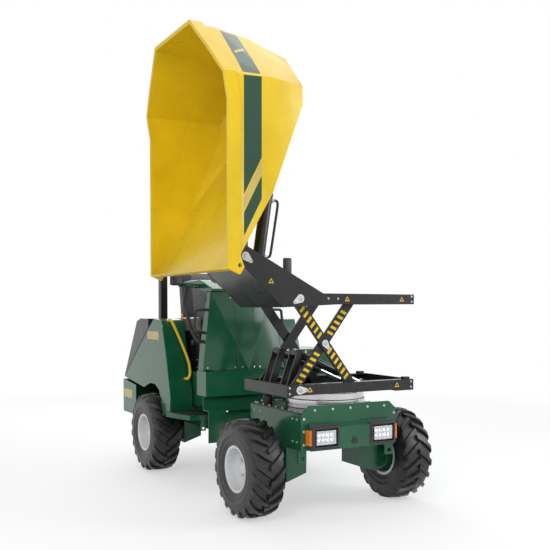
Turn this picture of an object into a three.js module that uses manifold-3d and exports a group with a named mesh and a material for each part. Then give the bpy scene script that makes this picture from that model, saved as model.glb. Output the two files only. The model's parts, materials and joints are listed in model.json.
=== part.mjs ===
// Swivel-skip site dumper with a scissor high tip, in millimetres.
// The machine drives towards -Y, its right side is -X and +Z is up. Every dimension is measured from
// the ground midway between the axles; the finished group is moved so its box stands on the origin.
// The lift is raised, the skip hangs over the machine's right side and is tipped right out.
import * as THREE from "three";
import { mergeVertices } from "three/addons/utils/BufferGeometryUtils.js";
import { ConvexGeometry } from "three/addons/geometries/ConvexGeometry.js";
import Module from "manifold-3d";

const wasm = await Module();
wasm.setup();

// ---- Driving dimensions ----
const GAP = 0.3; // between pieces that rest on each other

const WHEELBASE = 1920;
const TRACK = 1290;
const TYRE_R = 355;
const TYRE_W = 264;
const RIM_R = 160;

const FRAME_HALF = 411;
const FRAME_T = 12;
const FRONT_Y = -1287;
const FRONT_BACK = -530;
const FRONT_LOW = 505;
const FRONT_TOP = 760;
const NOSE_TOP = 818;
const STEER_Y = -250;

const DECK_T = 11.7;
const RING_R = 300;
const RING_BORE = 215;
const TURN_LOW = 886.3; // underside of the turntable

const BEAM_HALF = 327; // half the width over the turntable's and lift's channels
const BEAM_T = 8;
const FLANGE_IN = 268;
const BEAM_LEFT = -516;
const BEAM_RIGHT = 585;
const LOW_Z = 895; // lower channels
const HIGH_Z = 1532; // upper channels
const BEAM_H = 74;

const ARM_W = 74;
const ARM_T = 15;
const PIVOT_X = -412;
const PIVOT_Z = 932;
const RAISE = 638; // from the lower pivots to the upper ones
const SPREAD = 488; // from the pivots to the rollers
const ROLLER_R = 28;
const LEVER = [-325, 1180];
const LIFT_FOOT = [250, 935];
const LIFT_Y = 130;

const TIP = [-835, 1850];
const CYL_FOOT = [-600, 1645];
const CYL_EYE = [-430, 2790];

const SKIP_HALF = 670;
const SKIP_BACK_HALF = 307;
const SKIP_T = 8;
const LIP = [-1100, 1735];
const MOUTH_X = -1133;
const MOUTH_KINK = 2775;
const MOUTH_LEAN = 0.167;
const RIM_BAND = 86;
const RIM_PROUD = 16;

const REAR_FRONT = -130;
const REAR_END = 1740;
const REAR_LOW = 450;
const REAR_TOP = 640;
const BODY_HALF = 690;
const FENDER_IN = 480;
const SKIN = 5;
const FLOOR_TOP = 940;
const STATION_X = -215; // the driver sits to the right of the centre plane
const COWL_LOW = 985;
const COWL_TOP = 1640;
const DASH_HALF = 282;
const ROPS_Y = 1285;
const ROPS_X = 440;
const ROPS_SIZE = 72;
const ROPS_TOP = 2600;

const FRONT_AXLE = -WHEELBASE / 2;
const REAR_AXLE = WHEELBASE / 2;

// ---- Making solids ----
function solid(geometry, matrix) {
  const bare = geometry.index ? geometry.toNonIndexed() : geometry.clone();
  const g = new THREE.BufferGeometry();
  g.setAttribute("position", bare.getAttribute("position"));
  if (matrix) g.applyMatrix4(matrix);
  const merged = mergeVertices(g, 1e-3);
  const index = merged.index.array;
  const faces = [];
  for (let i = 0; i < index.length; i += 3) {
    const [a, b, c] = index.slice(i, i + 3);
    if (a !== b && b !== c && c !== a) faces.push([a, b, c]);
  }
  const make = (list) =>
    new wasm.Manifold(
      new wasm.Mesh({
        numProp: 3,
        vertProperties: new Float32Array(merged.attributes.position.array),
        triVerts: new Uint32Array(list.flat()),
      }),
    );
  const made = make(faces);
  return made.volume() >= 0 ? made : make(faces.map(([a, b, c]) => [a, c, b]));
}

function join(...solids) {
  return solids.flat(3).reduce((a, b) => a.add(b));
}

function cut(base, ...tools) {
  return tools.flat(3).reduce((a, b) => a.subtract(b), base);
}

function box(x0, x1, y0, y1, z0, z1) {
  const g = new THREE.BoxGeometry(Math.abs(x1 - x0), Math.abs(y1 - y0), Math.abs(z1 - z0));
  g.translate((x0 + x1) / 2, (y0 + y1) / 2, (z0 + z1) / 2);
  return solid(g);
}

// A flat outline extruded along an axis: its points are (y, z) for x, (x, z) for y, (x, y) for z.
function plate(axis, outline, a, b) {
  const [from, to] = [Math.min(a, b), Math.max(a, b)];
  const shape = new THREE.Shape(outline.map(([u, v]) => new THREE.Vector2(u, v)));
  const g = new THREE.ExtrudeGeometry(shape, { depth: to - from, bevelEnabled: false });
  const turn = {
    x: [0, 0, 1, from, 1, 0, 0, 0, 0, 1, 0, 0],
    y: [1, 0, 0, 0, 0, 0, -1, to, 0, 1, 0, 0],
    z: [1, 0, 0, 0, 0, 1, 0, 0, 0, 0, 1, from],
  }[axis];
  return solid(g, new THREE.Matrix4().set(...turn, 0, 0, 0, 1));
}

// A round bar between two points.
function bar(p, q, r, sides = 16) {
  const a = new THREE.Vector3(...p);
  const b = new THREE.Vector3(...q);
  const g = new THREE.CylinderGeometry(r, r, a.distanceTo(b), sides);
  const way = b.clone().sub(a).normalize();
  const turn = new THREE.Quaternion().setFromUnitVectors(new THREE.Vector3(0, 1, 0), way);
  const middle = a.clone().add(b).multiplyScalar(0.5);
  return solid(g, new THREE.Matrix4().compose(middle, turn, new THREE.Vector3(1, 1, 1)));
}

// A ring or disc turned about an axis through centre, from points (radius, place along the axis).
function turned(profile, axis, centre, sides) {
  const closed = [...profile, profile[0]].map(([r, h]) => new THREE.Vector2(r, h));
  const g = new THREE.LatheGeometry(closed, sides);
  const m = new THREE.Matrix4();
  if (axis === "x") m.makeRotationZ(-Math.PI / 2);
  if (axis === "z") m.makeRotationX(Math.PI / 2);
  return solid(g, m.setPosition(...centre));
}

// A round tube along straight runs with rounded corners.
function tube(points, r, bend, sides = 4, steps = 3) {
  const v = points.map((p) => new THREE.Vector3(...p));
  const path = new THREE.CurvePath();
  let start = v[0];
  for (let i = 1; i < v.length - 1; i++) {
    const before = v[i - 1].clone().sub(v[i]).setLength(bend).add(v[i]);
    const after = v[i + 1].clone().sub(v[i]).setLength(bend).add(v[i]);
    path.add(new THREE.LineCurve3(start, before));
    path.add(new THREE.QuadraticBezierCurve3(before, v[i], after));
    start = after;
  }
  path.add(new THREE.LineCurve3(start, v[v.length - 1]));
  const ring = new THREE.Shape().absarc(0, 0, r, 0, 2 * Math.PI);
  const options = { steps: steps * v.length, curveSegments: sides, extrudePath: path };
  return solid(new THREE.ExtrudeGeometry(ring, options));
}

function hull(points) {
  return solid(new ConvexGeometry(points.map((p) => new THREE.Vector3(...p))));
}

// A convex solid with every face moved out by t, or in where t is negative.
function offset(convex, t) {
  const { vertProperties: v, triVerts: f } = convex.getMesh();
  const corner = (i) => new THREE.Vector3(v[3 * i], v[3 * i + 1], v[3 * i + 2]);
  let made = box(-6000, 6000, -6000, 6000, -6000, 6000);
  const seen = new Set();
  for (let i = 0; i < f.length; i += 3) {
    const [a, b, c] = [corner(f[i]), corner(f[i + 1]), corner(f[i + 2])];
    const n = b.clone().sub(a).cross(c.clone().sub(a)).normalize();
    const key = [n.x, n.y, n.z, n.dot(a) / 1000].map((e) => Math.round(e * 500)).join();
    if (seen.has(key)) continue;
    seen.add(key);
    made = made.trimByPlane([-n.x, -n.y, -n.z], -(n.dot(a) + t));
  }
  return made;
}

// A closed outline moved inwards by t; its points run anticlockwise.
function inset(outline, t) {
  const n = outline.length;
  return outline.map(([x, z], i) => {
    const [ax, az] = outline[(i + n - 1) % n];
    const [bx, bz] = outline[(i + 1) % n];
    const u = new THREE.Vector2(x - ax, z - az).normalize();
    const w = new THREE.Vector2(bx - x, bz - z).normalize();
    const k = t / (1 + u.dot(w));
    return [x - k * (u.y + w.y), z + k * (u.x + w.x)];
  });
}

// Points of an arc about a centre, from one angle to another in degrees.
function arc([x, z], r, from, to, steps = 6) {
  return Array.from({ length: steps + 1 }, (_, i) => {
    const a = ((from + ((to - from) * i) / steps) * Math.PI) / 180;
    return [x + r * Math.cos(a), z + r * Math.sin(a)];
  });
}

// The same shape on both sides of the machine's centre plane.
function bothSides(make) {
  return [-1, 1].map(make);
}

const group = new THREE.Group();
const PAINTS = {
  green: [0x1c5a38, 0.35, 0.1],
  black: [0x1b1c1e, 0.4, 0.2],
  yellow: [0xe3c91e, 0.35, 0.1],
  steel: [0xb8bcc0, 0.3, 0.9],
  silver: [0xd9dbdc, 0.4, 0.4],
  rubber: [0x1e1f21, 0.85, 0],
  vinyl: [0x56585b, 0.7, 0],
  lens: [0xe8eef2, 0.1, 0],
};

function add(name, made, paint) {
  const mesh = made.getMesh();
  const g = new THREE.BufferGeometry();
  g.setAttribute("position", new THREE.BufferAttribute(mesh.vertProperties, 3));
  g.setIndex(new THREE.BufferAttribute(mesh.triVerts, 1));
  const [color, roughness, metalness] = PAINTS[paint];
  const material = new THREE.MeshStandardMaterial({ color, roughness, metalness });
  const piece = new THREE.Mesh(g, material);
  piece.name = name;
  group.add(piece);
}

// ---- Wheels ----
function wheels() {
  const w = TYRE_W / 2;
  const seat = 108;
  const half = [[RIM_R, seat], [RIM_R + 12, seat], [200, 125], [300, w], [TYRE_R, 98]];
  const tyre = [...half.map(([r, h]) => [r, -h]), ...half.reverse()];
  // The disc stands out of the middle, towards the wheel's outer face.
  const rim = [
    [0, 13],
    [70, 13],
    [148, 28],
    [148, -114],
    [171, -114],
    [171, -seat - GAP],
    [RIM_R - GAP, -seat - GAP],
    [RIM_R - GAP, seat + GAP],
    [171, seat + GAP],
    [171, 114],
    [148, 114],
    [148, 40],
    [70, 25],
    [0, 25],
  ];
  for (const [end, y] of [["front", FRONT_AXLE], ["rear", REAR_AXLE]]) {
    for (const [side, way] of [["right", -1], ["left", 1]]) {
      const at = [(way * TRACK) / 2, y, TYRE_R];
      const facing = (profile) => profile.map(([r, h]) => [r, way * h]);
      add(`tyre_${end}_${side}`, turned(facing(tyre), "x", at, 24), "rubber");
      add(`rim_${end}_${side}`, turned(facing(rim), "x", at, 24), "silver");
    }
  }
}

// The housing inside each wheel with the drum that carries its rim.
function wheelCarriers(axle, top) {
  const outline = [[235, 300], [402, 245], [405, top], [235, top]];
  return bothSides((way) => {
    const housing = plate("y", outline.map(([x, z]) => [way * x, z]), axle - 120, axle + 120);
    const run = (a, b, r) => bar([way * a, axle, TYRE_R], [way * b, axle, TYRE_R], r);
    return [housing, run(398, 490, 100), run(480, 650, 118), run(600, TRACK / 2 + 12.5, 40)];
  });
}

// ---- Front frame ----
function frontFrame() {
  const out = FRAME_HALF;
  const sides = bothSides((s) => box(s * (out - FRAME_T), s * out, FRONT_Y, FRONT_BACK, FRONT_LOW, FRONT_TOP));
  const back = box(-out + 2, out - 2, FRONT_BACK - 15, FRONT_BACK, FRONT_LOW + 1, FRONT_TOP - 2);
  const cross = [-1190, -742].map((y) => box(-out + 1, out - 1, y, y + FRAME_T, 600, FRONT_TOP - 2));
  const end = arc([0, STEER_Y], 72, 0, 180);
  const yoke = [[-100, FRONT_BACK - 1], [100, FRONT_BACK - 1], ...end];
  const pin = bar([0, STEER_Y, 500], [0, STEER_Y, 800], 30.1);
  const yokes = [560, 695].map((z) => cut(plate("z", yoke, z, z + 25), pin));
  const eyes = bothSides((s) =>
    cut(box(s * 344, s * out, -1262, -1248, 411, 530), bar([s * 378, -1280, 444], [s * 378, -1230, 444], 17)),
  );
  add("front_chassis", join(sides, back, cross, yokes, eyes, wheelCarriers(FRONT_AXLE, 520)), "green");
}

const LAMP_FRONT = -1360; // face of the lamp housing

function lamp(s, grow, y0, y1) {
  return box(s * (245 - 93 - grow), s * (245 + 93 + grow), y0, y1, 536 - grow, 662 + grow);
}

function nose() {
  const face = FRONT_Y - GAP;
  const front = face - 12;
  const h = FRAME_HALF;
  const outline = [
    [-h, FRONT_LOW],
    [h, FRONT_LOW],
    [h, FRONT_TOP],
    [345, NOSE_TOP],
    [-345, NOSE_TOP],
    [-h, FRONT_TOP],
  ];
  const profile = [[front + 1, 510], [front + 1, 693], [LAMP_FRONT, 668], [LAMP_FRONT, 510]];
  const hollow = [[front, 505], [front, 688], [LAMP_FRONT + 4, 664], [LAMP_FRONT + 4, 505]];
  const housing = cut(
    plate("x", profile, -350, 350),
    plate("x", hollow, -346, 346),
    bothSides((s) => lamp(s, 0.5, LAMP_FRONT - 5, LAMP_FRONT + 10)),
    bar([0, LAMP_FRONT - 5, 563], [0, LAMP_FRONT + 10, 563], 18),
  );
  add("front_plate", join(plate("y", outline, front, face), housing), "green");
  add("headlamp_right", lamp(-1, 0, LAMP_FRONT - 12, LAMP_FRONT + 26), "lens");
  add("headlamp_left", lamp(1, 0, LAMP_FRONT - 12, LAMP_FRONT + 26), "lens");
}

// ---- Deck and slewing ring ----
function deck() {
  const z = FRONT_TOP + GAP;
  add("deck_plate", box(-FRAME_HALF, FRAME_HALF, FRONT_Y, FRONT_BACK, z, z + DECK_T), "black");
  const on = z + DECK_T + GAP;
  const split = 838;
  const ring = (r, bore, z0, z1) =>
    turned([[bore, z0], [r, z0], [r, z1], [bore, z1]], "z", [0, FRONT_AXLE, 0], 36);
  add("slew_ring_lower", ring(RING_R, RING_BORE, on, split), "steel");
  add("slew_ring_upper", ring(RING_R - 8, RING_BORE + 10, split + 0.6, TURN_LOW - GAP), "steel");
  add("slew_motor", bar([-345, -690, on], [-345, -690, 862], 42), "black");
}

// ---- Turntable, scissor lift and lift cylinders ----
const across = ([x, z], d) => [x, FRONT_AXLE + d, z];

function crossBar(at, r, a, b) {
  return bar(across(at, a), across(at, b), r);
}

// An upright plate in the plane of the lift, between two distances from its centre line.
function upright(outline, a, b) {
  return plate("y", outline, FRONT_AXLE + a, FRONT_AXLE + b);
}

function channels(x0, x1, z) {
  return bothSides((s) => {
    const run = (a, b, z0, z1) => box(x0, x1, FRONT_AXLE + s * a, FRONT_AXLE + s * b, z0, z1);
    const web = BEAM_HALF - BEAM_T;
    const flange = BEAM_T - 1;
    return [
      run(web, BEAM_HALF, z, z + BEAM_H),
      run(FLANGE_IN, web + 1, z, z + flange),
      run(FLANGE_IN, web + 1, z + BEAM_H - flange, z + BEAM_H),
    ];
  });
}

function crossMember(x0, x1, z0, z1) {
  return box(x0, x1, FRONT_AXLE - BEAM_HALF + 1, FRONT_AXLE + BEAM_HALF - 1, z0, z1);
}

function turntable() {
  const sheet = LOW_Z + 1;
  const ends = [crossMember(BEAM_LEFT, BEAM_LEFT + 12, TURN_LOW, LOW_Z + BEAM_H)];
  ends.push(crossMember(BEAM_RIGHT - 12, BEAM_RIGHT, TURN_LOW, LOW_Z + BEAM_H));
  ends.push(crossMember(BEAM_LEFT, -460, TURN_LOW, sheet), crossMember(420, BEAM_RIGHT, TURN_LOW, sheet));
  const floor = box(BEAM_LEFT, BEAM_RIGHT, FRONT_AXLE - 222, FRONT_AXLE + 222, TURN_LOW, sheet);
  const [x, z] = LIFT_FOOT;
  const lug = [[x - 52, sheet - 2], [x + 52, sheet - 2], ...arc(LIFT_FOOT, 24, 0, 180)];
  const lugs = [-1, 1].flatMap((s) =>
    [-1, 1].map((t) => upright(lug, s * LIFT_Y + t * 22, s * LIFT_Y + t * 34)),
  );
  const pins = bothSides((s) => crossBar([x, z], 10, s * LIFT_Y - 30, s * LIFT_Y + 30));
  const stops = bothSides((s) =>
    box(505, 555, FRONT_AXLE + s * 275, FRONT_AXLE + s * 318, LOW_Z + BEAM_H - 1, LOW_Z + BEAM_H + 18),
  );
  add("base_frame", join(channels(BEAM_LEFT, BEAM_RIGHT, LOW_Z), ends, floor, lugs, pins, stops), "black");
}

// A flat bar with round ends between two points.
function link(p, q, width, a, b) {
  const turn = (Math.atan2(q[1] - p[1], q[0] - p[0]) * 180) / Math.PI;
  const outline = [...arc(q, width / 2, turn - 90, turn + 90), ...arc(p, width / 2, turn + 90, turn + 270)];
  return upright(outline, a, b);
}

function scissor() {
  const low = [PIVOT_X, PIVOT_Z];
  const high = [PIVOT_X, PIVOT_Z + RAISE];
  const lowRoller = [PIVOT_X + SPREAD, PIVOT_Z];
  const highRoller = [PIVOT_X + SPREAD, PIVOT_Z + RAISE];
  const middle = [PIVOT_X + SPREAD / 2, PIVOT_Z + RAISE / 2];
  const reach = BEAM_HALF - BEAM_T - 0.5;
  const inner = 230;
  const outer = inner + ARM_T + 3;
  const pair = (p, q, at) => bothSides((s) => link(p, q, ARM_W, s * at, s * (at + ARM_T)));
  const ends = (at, r, a, b) => bothSides((s) => crossBar(at, r, s * a, s * b));
  const innerPieces = [
    pair(low, highRoller, inner),
    crossBar(low, 30, -inner - 1, inner + 1),
    ends(low, 20, inner + 1, reach),
    ends(highRoller, ROLLER_R, inner + ARM_T - 1, reach - 0.5),
    ends(middle, 22, inner + ARM_T - 1, outer + ARM_T + 3),
    [-182, -90, 78, 170].map((d) => link(low, LEVER, 56, d, d + 12)),
    ends(LEVER, 15, LIFT_Y - 45, LIFT_Y + 45),
  ];
  add("scissor_arms_inner", join(innerPieces), "black");
  const outerPieces = [
    pair(high, lowRoller, outer),
    crossBar(high, 20, -outer - 1, outer + 1),
    ends(high, 20, outer + 1, reach),
    ends(lowRoller, ROLLER_R, outer + ARM_T - 1, reach - 0.5),
  ];
  add("scissor_arms_outer", cut(join(outerPieces), crossBar(middle, 22.6, -400, 400)), "black");
}

// A ram lying in the plane of the lift: its barrel turns at p, its rod ends in an eye at q.
function ram(p, q, y, size, names) {
  const a = new THREE.Vector3(...across(p, y));
  const way = new THREE.Vector3(...across(q, y)).sub(a);
  const length = way.length();
  way.normalize();
  const on = (s) => a.clone().addScaledVector(way, s).toArray();
  const eye = (at, r, w) => crossBar(at, r, y - w, y + w);
  const body = join(
    bar(on(10), on(size.start + 5), size.eyeR - 2),
    bar(on(size.start), on(size.barrel), size.barrelR),
    bar(on(size.barrel - 30), on(size.barrel), size.barrelR + 2),
    eye(p, size.eyeR, size.eyeW),
  );
  const hollow = bar(on(size.bore), on(size.barrel + 10), size.rodR + 1);
  add(names[0], cut(body, hollow, eye(p, size.pinR + 0.6, 90)), "black");
  const rod = join(bar(on(size.rod), on(length - size.rodEyeR + 6), size.rodR), eye(q, size.rodEyeR, size.rodEyeW));
  add(names[1], cut(rod, eye(q, size.rodHole, 90)), "steel");
}

function liftRams() {
  const size = {
    start: 20, barrel: 390, barrelR: 30, bore: 40, rod: 212, rodR: 16,
    eyeR: 30, eyeW: 36, pinR: 15, rodEyeR: 33, rodEyeW: 20, rodHole: 25.5,
  };
  for (const [name, s] of [["front", -1], ["rear", 1]])
    ram(LEVER, LIFT_FOOT, s * LIFT_Y, size, [`lift_barrel_${name}`, `lift_rod_${name}`]);
}

// ---- Gooseneck frame over the lift ----
function upperFrame() {
  const joint = -57;
  const corner = [-547, 1509];
  const neck = [
    [joint, HIGH_Z],
    [joint, HIGH_Z + BEAM_H],
    [-222, 1608],
    [-822, 1919],
    [-880, 1945],
    [-930, 1850],
    [-915, 1770],
    [-840, 1775],
    corner,
  ];
  const cheeks = bothSides((s) => upright(neck, s * (BEAM_HALF - BEAM_T), s * BEAM_HALF));
  const belly = [corner, [-868, 1803], [-863, 1809], [-544, 1517]];
  const foot = [[-560, 1532], ...arc(CYL_FOOT, 30, -30, 150), [-655, 1616]];
  const pieces = [
    cheeks,
    channels(-100, BEAM_RIGHT, HIGH_Z),
    upright(belly, -BEAM_HALF + 1, BEAM_HALF - 1),
    crossMember(450, 500, HIGH_Z + 8, HIGH_Z + BEAM_H - 8),
    crossMember(BEAM_RIGHT - 12, BEAM_RIGHT, HIGH_Z, HIGH_Z + BEAM_H),
    crossBar(TIP, 20, -BEAM_HALF + 1, BEAM_HALF - 1),
    [-50, 38].map((d) => upright(foot, d, d + 12)),
    crossBar(CYL_FOOT, 18, -45, 45),
  ];
  add("upper_frame", join(pieces), "black");
}

function tipRam() {
  const size = {
    start: 38, barrel: 700, barrelR: 45, bore: 46, rod: 442, rodR: 22,
    eyeR: 28, eyeW: 36, pinR: 18, rodEyeR: 32, rodEyeW: 24, rodHole: 19,
  };
  ram(CYL_FOOT, CYL_EYE, 0, size, ["tip_barrel", "tip_rod"]);
  // The hose leaves the top of the barrel, loops down and comes back in near its foot.
  const at = (s, out, side) => {
    const way = new THREE.Vector2(CYL_EYE[0] - CYL_FOOT[0], CYL_EYE[1] - CYL_FOOT[1]).normalize();
    return across([CYL_FOOT[0] + way.x * s + way.y * out, CYL_FOOT[1] + way.y * s - way.x * out], side);
  };
  const hose = [at(655, 45.1, 0), at(655, 92, 0), at(600, 100, 0), at(240, 96, 0), at(240, 45.6, 0)];
  add("tip_hose", tube(hose, 11, 24), "rubber");
}

// ---- Skip ----
// What lies outside the mouth, moved back from its edge by shift.
function beyondMouth(shift) {
  const x = MOUTH_X + shift;
  const outline = [[x, 1000], [x, MOUTH_KINK], [x - MOUTH_LEAN * 900, MOUTH_KINK + 900], [-3000, 3675], [-3000, 1000]];
  return upright(outline, -1200, 1200);
}

function skipForm() {
  const far = -1700;
  const centre = [[far, 3335], [-1040, 3322], [-820, 3290], [-520, 3200], [-430, 3050], [-425, 2900], LIP, [far, 1917]];
  const side = [[far, 2920], [-820, 2943], [-815, 2227], LIP, [far, 1917]];
  const fold = [[-572, 2935], [-570, 2815]];
  const rows = [[centre, SKIP_BACK_HALF], [side, SKIP_HALF], [fold, 623]];
  return hull(rows.flatMap(([row, w]) => row.flatMap((p) => [across(p, -w), across(p, w)])));
}

function skip() {
  const form = skipForm();
  const rim = offset(form, RIM_PROUD).intersect(beyondMouth(RIM_BAND));
  const band = cut(rim, box(-3000, 0, -3000, 1000, 0, LIP[1] + 70));
  const tab = [[MOUTH_X, 1745], [-1052, 1711], [-1023, 1757], [-1050, 1830], [MOUTH_X, 1840]];
  const tabs = bothSides((s) => upright(tab, s * (SKIP_HALF - SKIP_T), s * (SKIP_HALF + RIM_PROUD)));
  const ear = [
    [-1078, 1783],
    [-960, 1815],
    [-880, 1828],
    ...arc(TIP, 42, -130, -20),
    [-793, 1870],
    [-848, 1950],
    [-700, 2206],
    [-480, 2586],
    [-512, 2755],
  ];
  const ears = [-260, -215, 200, 245].map((d) => upright(ear, d, d + 15));
  const eye = [[-540, 2716], ...arc(CYL_EYE, 33, -60, 60), [-436, 2888]];
  const eyes = [-38, 26].map((d) => upright(eye, d, d + 12));
  const hook = cut(
    upright([[-1100, 3318], [-1040, 3318], [-1040, 3372], [-1058, 3386], [-1082, 3386], [-1100, 3372]], 288, 300),
    crossBar([-1070, 3356], 15, 280, 310),
  );
  const shell = cut(join(form, band, ears, eyes, hook), offset(form, -SKIP_T), beyondMouth(0));
  const tabHoles = crossBar([-1052, 1768], 14, -900, 900);
  const bored = cut(join(shell, tabs), tabHoles, crossBar(TIP, 20.6, -400, 400));
  const studs = bothSides((s) => crossBar(CYL_EYE, 18, s * 25, s * 34));
  add("skip", join(bored, studs), "yellow");
}

// ---- Rear frame ----
function rearFrame() {
  const out = FRAME_HALF;
  const sides = bothSides((s) => box(s * (out - FRAME_T), s * out, REAR_FRONT, REAR_END, REAR_LOW, REAR_TOP));
  const front = box(-out, out, REAR_FRONT, REAR_FRONT + FRAME_T, REAR_LOW, 664 - GAP);
  const back = box(-out, out, REAR_END - FRAME_T, REAR_END, REAR_LOW, REAR_TOP);
  const pan = [box(-out, out, 900, REAR_END, REAR_TOP - 1, REAR_TOP + 6)];
  pan.push(box(-480, 480, 1200, 1350, REAR_TOP - 5, REAR_TOP + 6));
  const tongue = [[60, REAR_FRONT + 1], [-60, REAR_FRONT + 1], ...arc([0, STEER_Y], 60, 180, 360)];
  const pin = bar([0, STEER_Y, 555], [0, STEER_Y, 725], 29.5);
  add(
    "rear_chassis",
    join(sides, front, back, pan, plate("z", tongue, 592, 688), pin, wheelCarriers(REAR_AXLE, 460)),
    "green",
  );
  add("battery_block", box(-350, 350, 1100, 1600, REAR_TOP + 6 + GAP, 950), "black");
}

// ---- Floor, step and front apron ----
function floors() {
  const low = REAR_TOP + 6 + GAP;
  const tub = cut(
    box(-465, 475, -60, 1000, low, FLOOR_TOP),
    box(-465 + SKIN, 475 - SKIN, -60 + SKIN, 1000 - SKIN, 600, FLOOR_TOP - SKIN),
  );
  add("floor_box", tub, "green");
  const step = [[-740, 440], [-700, 270], [-653, 110], [-463, 110], [-FRAME_HALF - 0.5, 130], [-FRAME_HALF - 0.5, 440]];
  const eye = cut(box(-549, -507, 112, 124, 466, 562), bar([-528, 90, 490], [-528, 140, 490], 13));
  add("entry_step", join(plate("z", step, 560, 600), eye), "green");

  const top = COWL_LOW - 1;
  const pieces = [
    box(-610, 610, -125, -119, 781, top),
    box(-610, 610, -125, -62, 781, 787),
    box(-610, 610, -66, -60 - GAP, 664, 786),
    box(-610, 610, -171, -60 - GAP, 664, 670),
    bothSides((s) => box(s * 450, s * 609, -171, -165, 408, 668)),
    box(604, 610, -122, -20 - GAP, 781, top),
    box(-610, -604, -122, 60, 781, top),
    box(466, 609, -124, -20 - GAP, top - 6, top),
    box(-609, -466, -124, 60, top - 6, top),
  ];
  add("apron", cut(join(pieces), box(-64, 64, -200, -117, 600, 700)), "green");
}

// ---- Driver's cowl, dash and controls ----
function cowlForm(x) {
  const points = [];
  for (const [z, half, ridge, edge, back] of [
    [COWL_LOW - 0.5, 385, -125, -40, 60],
    [COWL_TOP, 285, -5, 25, 150],
  ]) {
    points.push([x, ridge, z]);
    for (const s of [-1, 1]) points.push([x + s * half, edge, z], [x + s * half, back, z]);
  }
  return hull(points);
}

function cowl() {
  const x = STATION_X;
  const form = cowlForm(x);
  const shape = cut(form, offset(form, -SKIN));
  const behind = box(x - 800, x + 800, 90, 400, 900, COWL_TOP - SKIN - 1);
  const opening = box(x - 278, x + 278, 30, 400, 900, COWL_TOP - 40);
  const below = box(x - 370, x + 370, -60, 400, 900, COWL_LOW + 6);
  add("cowl", cut(shape, behind, opening, below), "green");
}

function controls() {
  const x = STATION_X;
  const tray = [[0, COWL_TOP + GAP], [150, COWL_TOP + GAP], [600, 1716], [600, 1740], [250, 1745], [0, COWL_TOP + 24]];
  add("dash_console", cut(plate("x", tray, x - DASH_HALF, x + DASH_HALF), box(x - 190, x + 190, 160, 700, 1500, 1800)), "green");
  const centre = new THREE.Vector3(x, 350, 1610);
  const lean = 0.6;
  const ring = new THREE.Matrix4().makeRotationX(-lean).setPosition(centre);
  const rim = solid(new THREE.TorusGeometry(166, 14, 6, 24), ring);
  const spoke = (a) => {
    const end = new THREE.Vector3(166 * Math.cos(a), 166 * Math.sin(a), 0).applyMatrix4(ring);
    return bar(centre.toArray(), end.toArray(), 10, 8);
  };
  const column = bar([x, 350, 1610], [x, 152, 1322], 24, 16);
  const post = box(x - 60, x + 60, 100, 200, FLOOR_TOP + GAP, 1340);
  add("steering_wheel", join(rim, [0.5, 2.6, 4.7].map(spoke), column, post), "black");

  // Mirrors on flat arms out of the dash's two ends.
  for (const [name, s, z, reach] of [["mirror_right", -1, 1700, 480], ["mirror_left", 1, 1770, 560]]) {
    const from = x + s * (DASH_HALF + GAP);
    const end = x + s * reach;
    const arm = plate("y", [[from, 1670], [from, 1708], [end, z + 24], [end, z - 20]], 262, 274);
    const head = box(end - s * 12, end + s * 68, 242, 278, z - 6, z + 190);
    add(name, join(arm, head), "black");
  }
  // Grab loops down both edges of the cowl.
  for (const [name, s] of [["hand_loop_right", -1], ["hand_loop_left", 1]]) {
    const at = (d, z) => [x + s * d, 55, z];
    const edge = (z) => 385 - (100 * (z - COWL_LOW + 0.5)) / (COWL_TOP - COWL_LOW + 0.5);
    const loop = [at(edge(1490) + 2.5, 1490), at(405, 1490), at(420, 1300), at(edge(1300) + 2.5, 1300)];
    add(name, tube(loop, 12.5, 45), "rubber");
  }
  const hose = [[-640, 261.4, 1695], [-640, 190, 1695], [-690, 140, 1560], [-650, 90, 1330], [-610, 50, 1225], [-566.5, 50, 1225]];
  add("conduit", tube(hose, 17, 30), "rubber");
}

function seat() {
  const x = STATION_X;
  add("seat_pedestal", box(x - 205, x + 205, 455, 900, FLOOR_TOP + GAP, 1300), "black");
  const low = 1300 + GAP;
  const cushion = [[330, low], [780, low], [780, 1400], [690, 1400], [370, 1425], [330, 1400]];
  add("seat_cushion", plate("x", cushion, x - 250, x + 250), "vinyl");
  const rest = [[716, 1400 + GAP], [800, 1400 + GAP], [872, 1800], [860, 1840], [812, 1840], [788, 1800]];
  add("seat_back", plate("x", rest, x - 250, x + 250), "vinyl");
}

// ---- Rear body ----

function fenders() {
  const profile = [
    [1718, 812],
    [1010, 1315],
    [865, 1408],
    [673, 1394],
    [575, 1120],
    [462, 735],
    [470, 600],
    [643, 538],
    [691, 677],
    [740, 762],
    [843, 808],
    [981, 807],
    [1147, 753],
  ];
  const hollow = [[1700, 400], [1700, 819], [1007, 1309], [863, 1402], [677, 1389], [580, 1118], [468, 734], [476, 400]];
  const shell = cut(
    plate("x", profile, FENDER_IN, BODY_HALF),
    plate("x", hollow, FENDER_IN + SKIN, BODY_HALF - SKIN),
  );
  add("fender_left", shell, "green");
  add("fender_right", shell.mirror([1, 0, 0]), "green");
}

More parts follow.
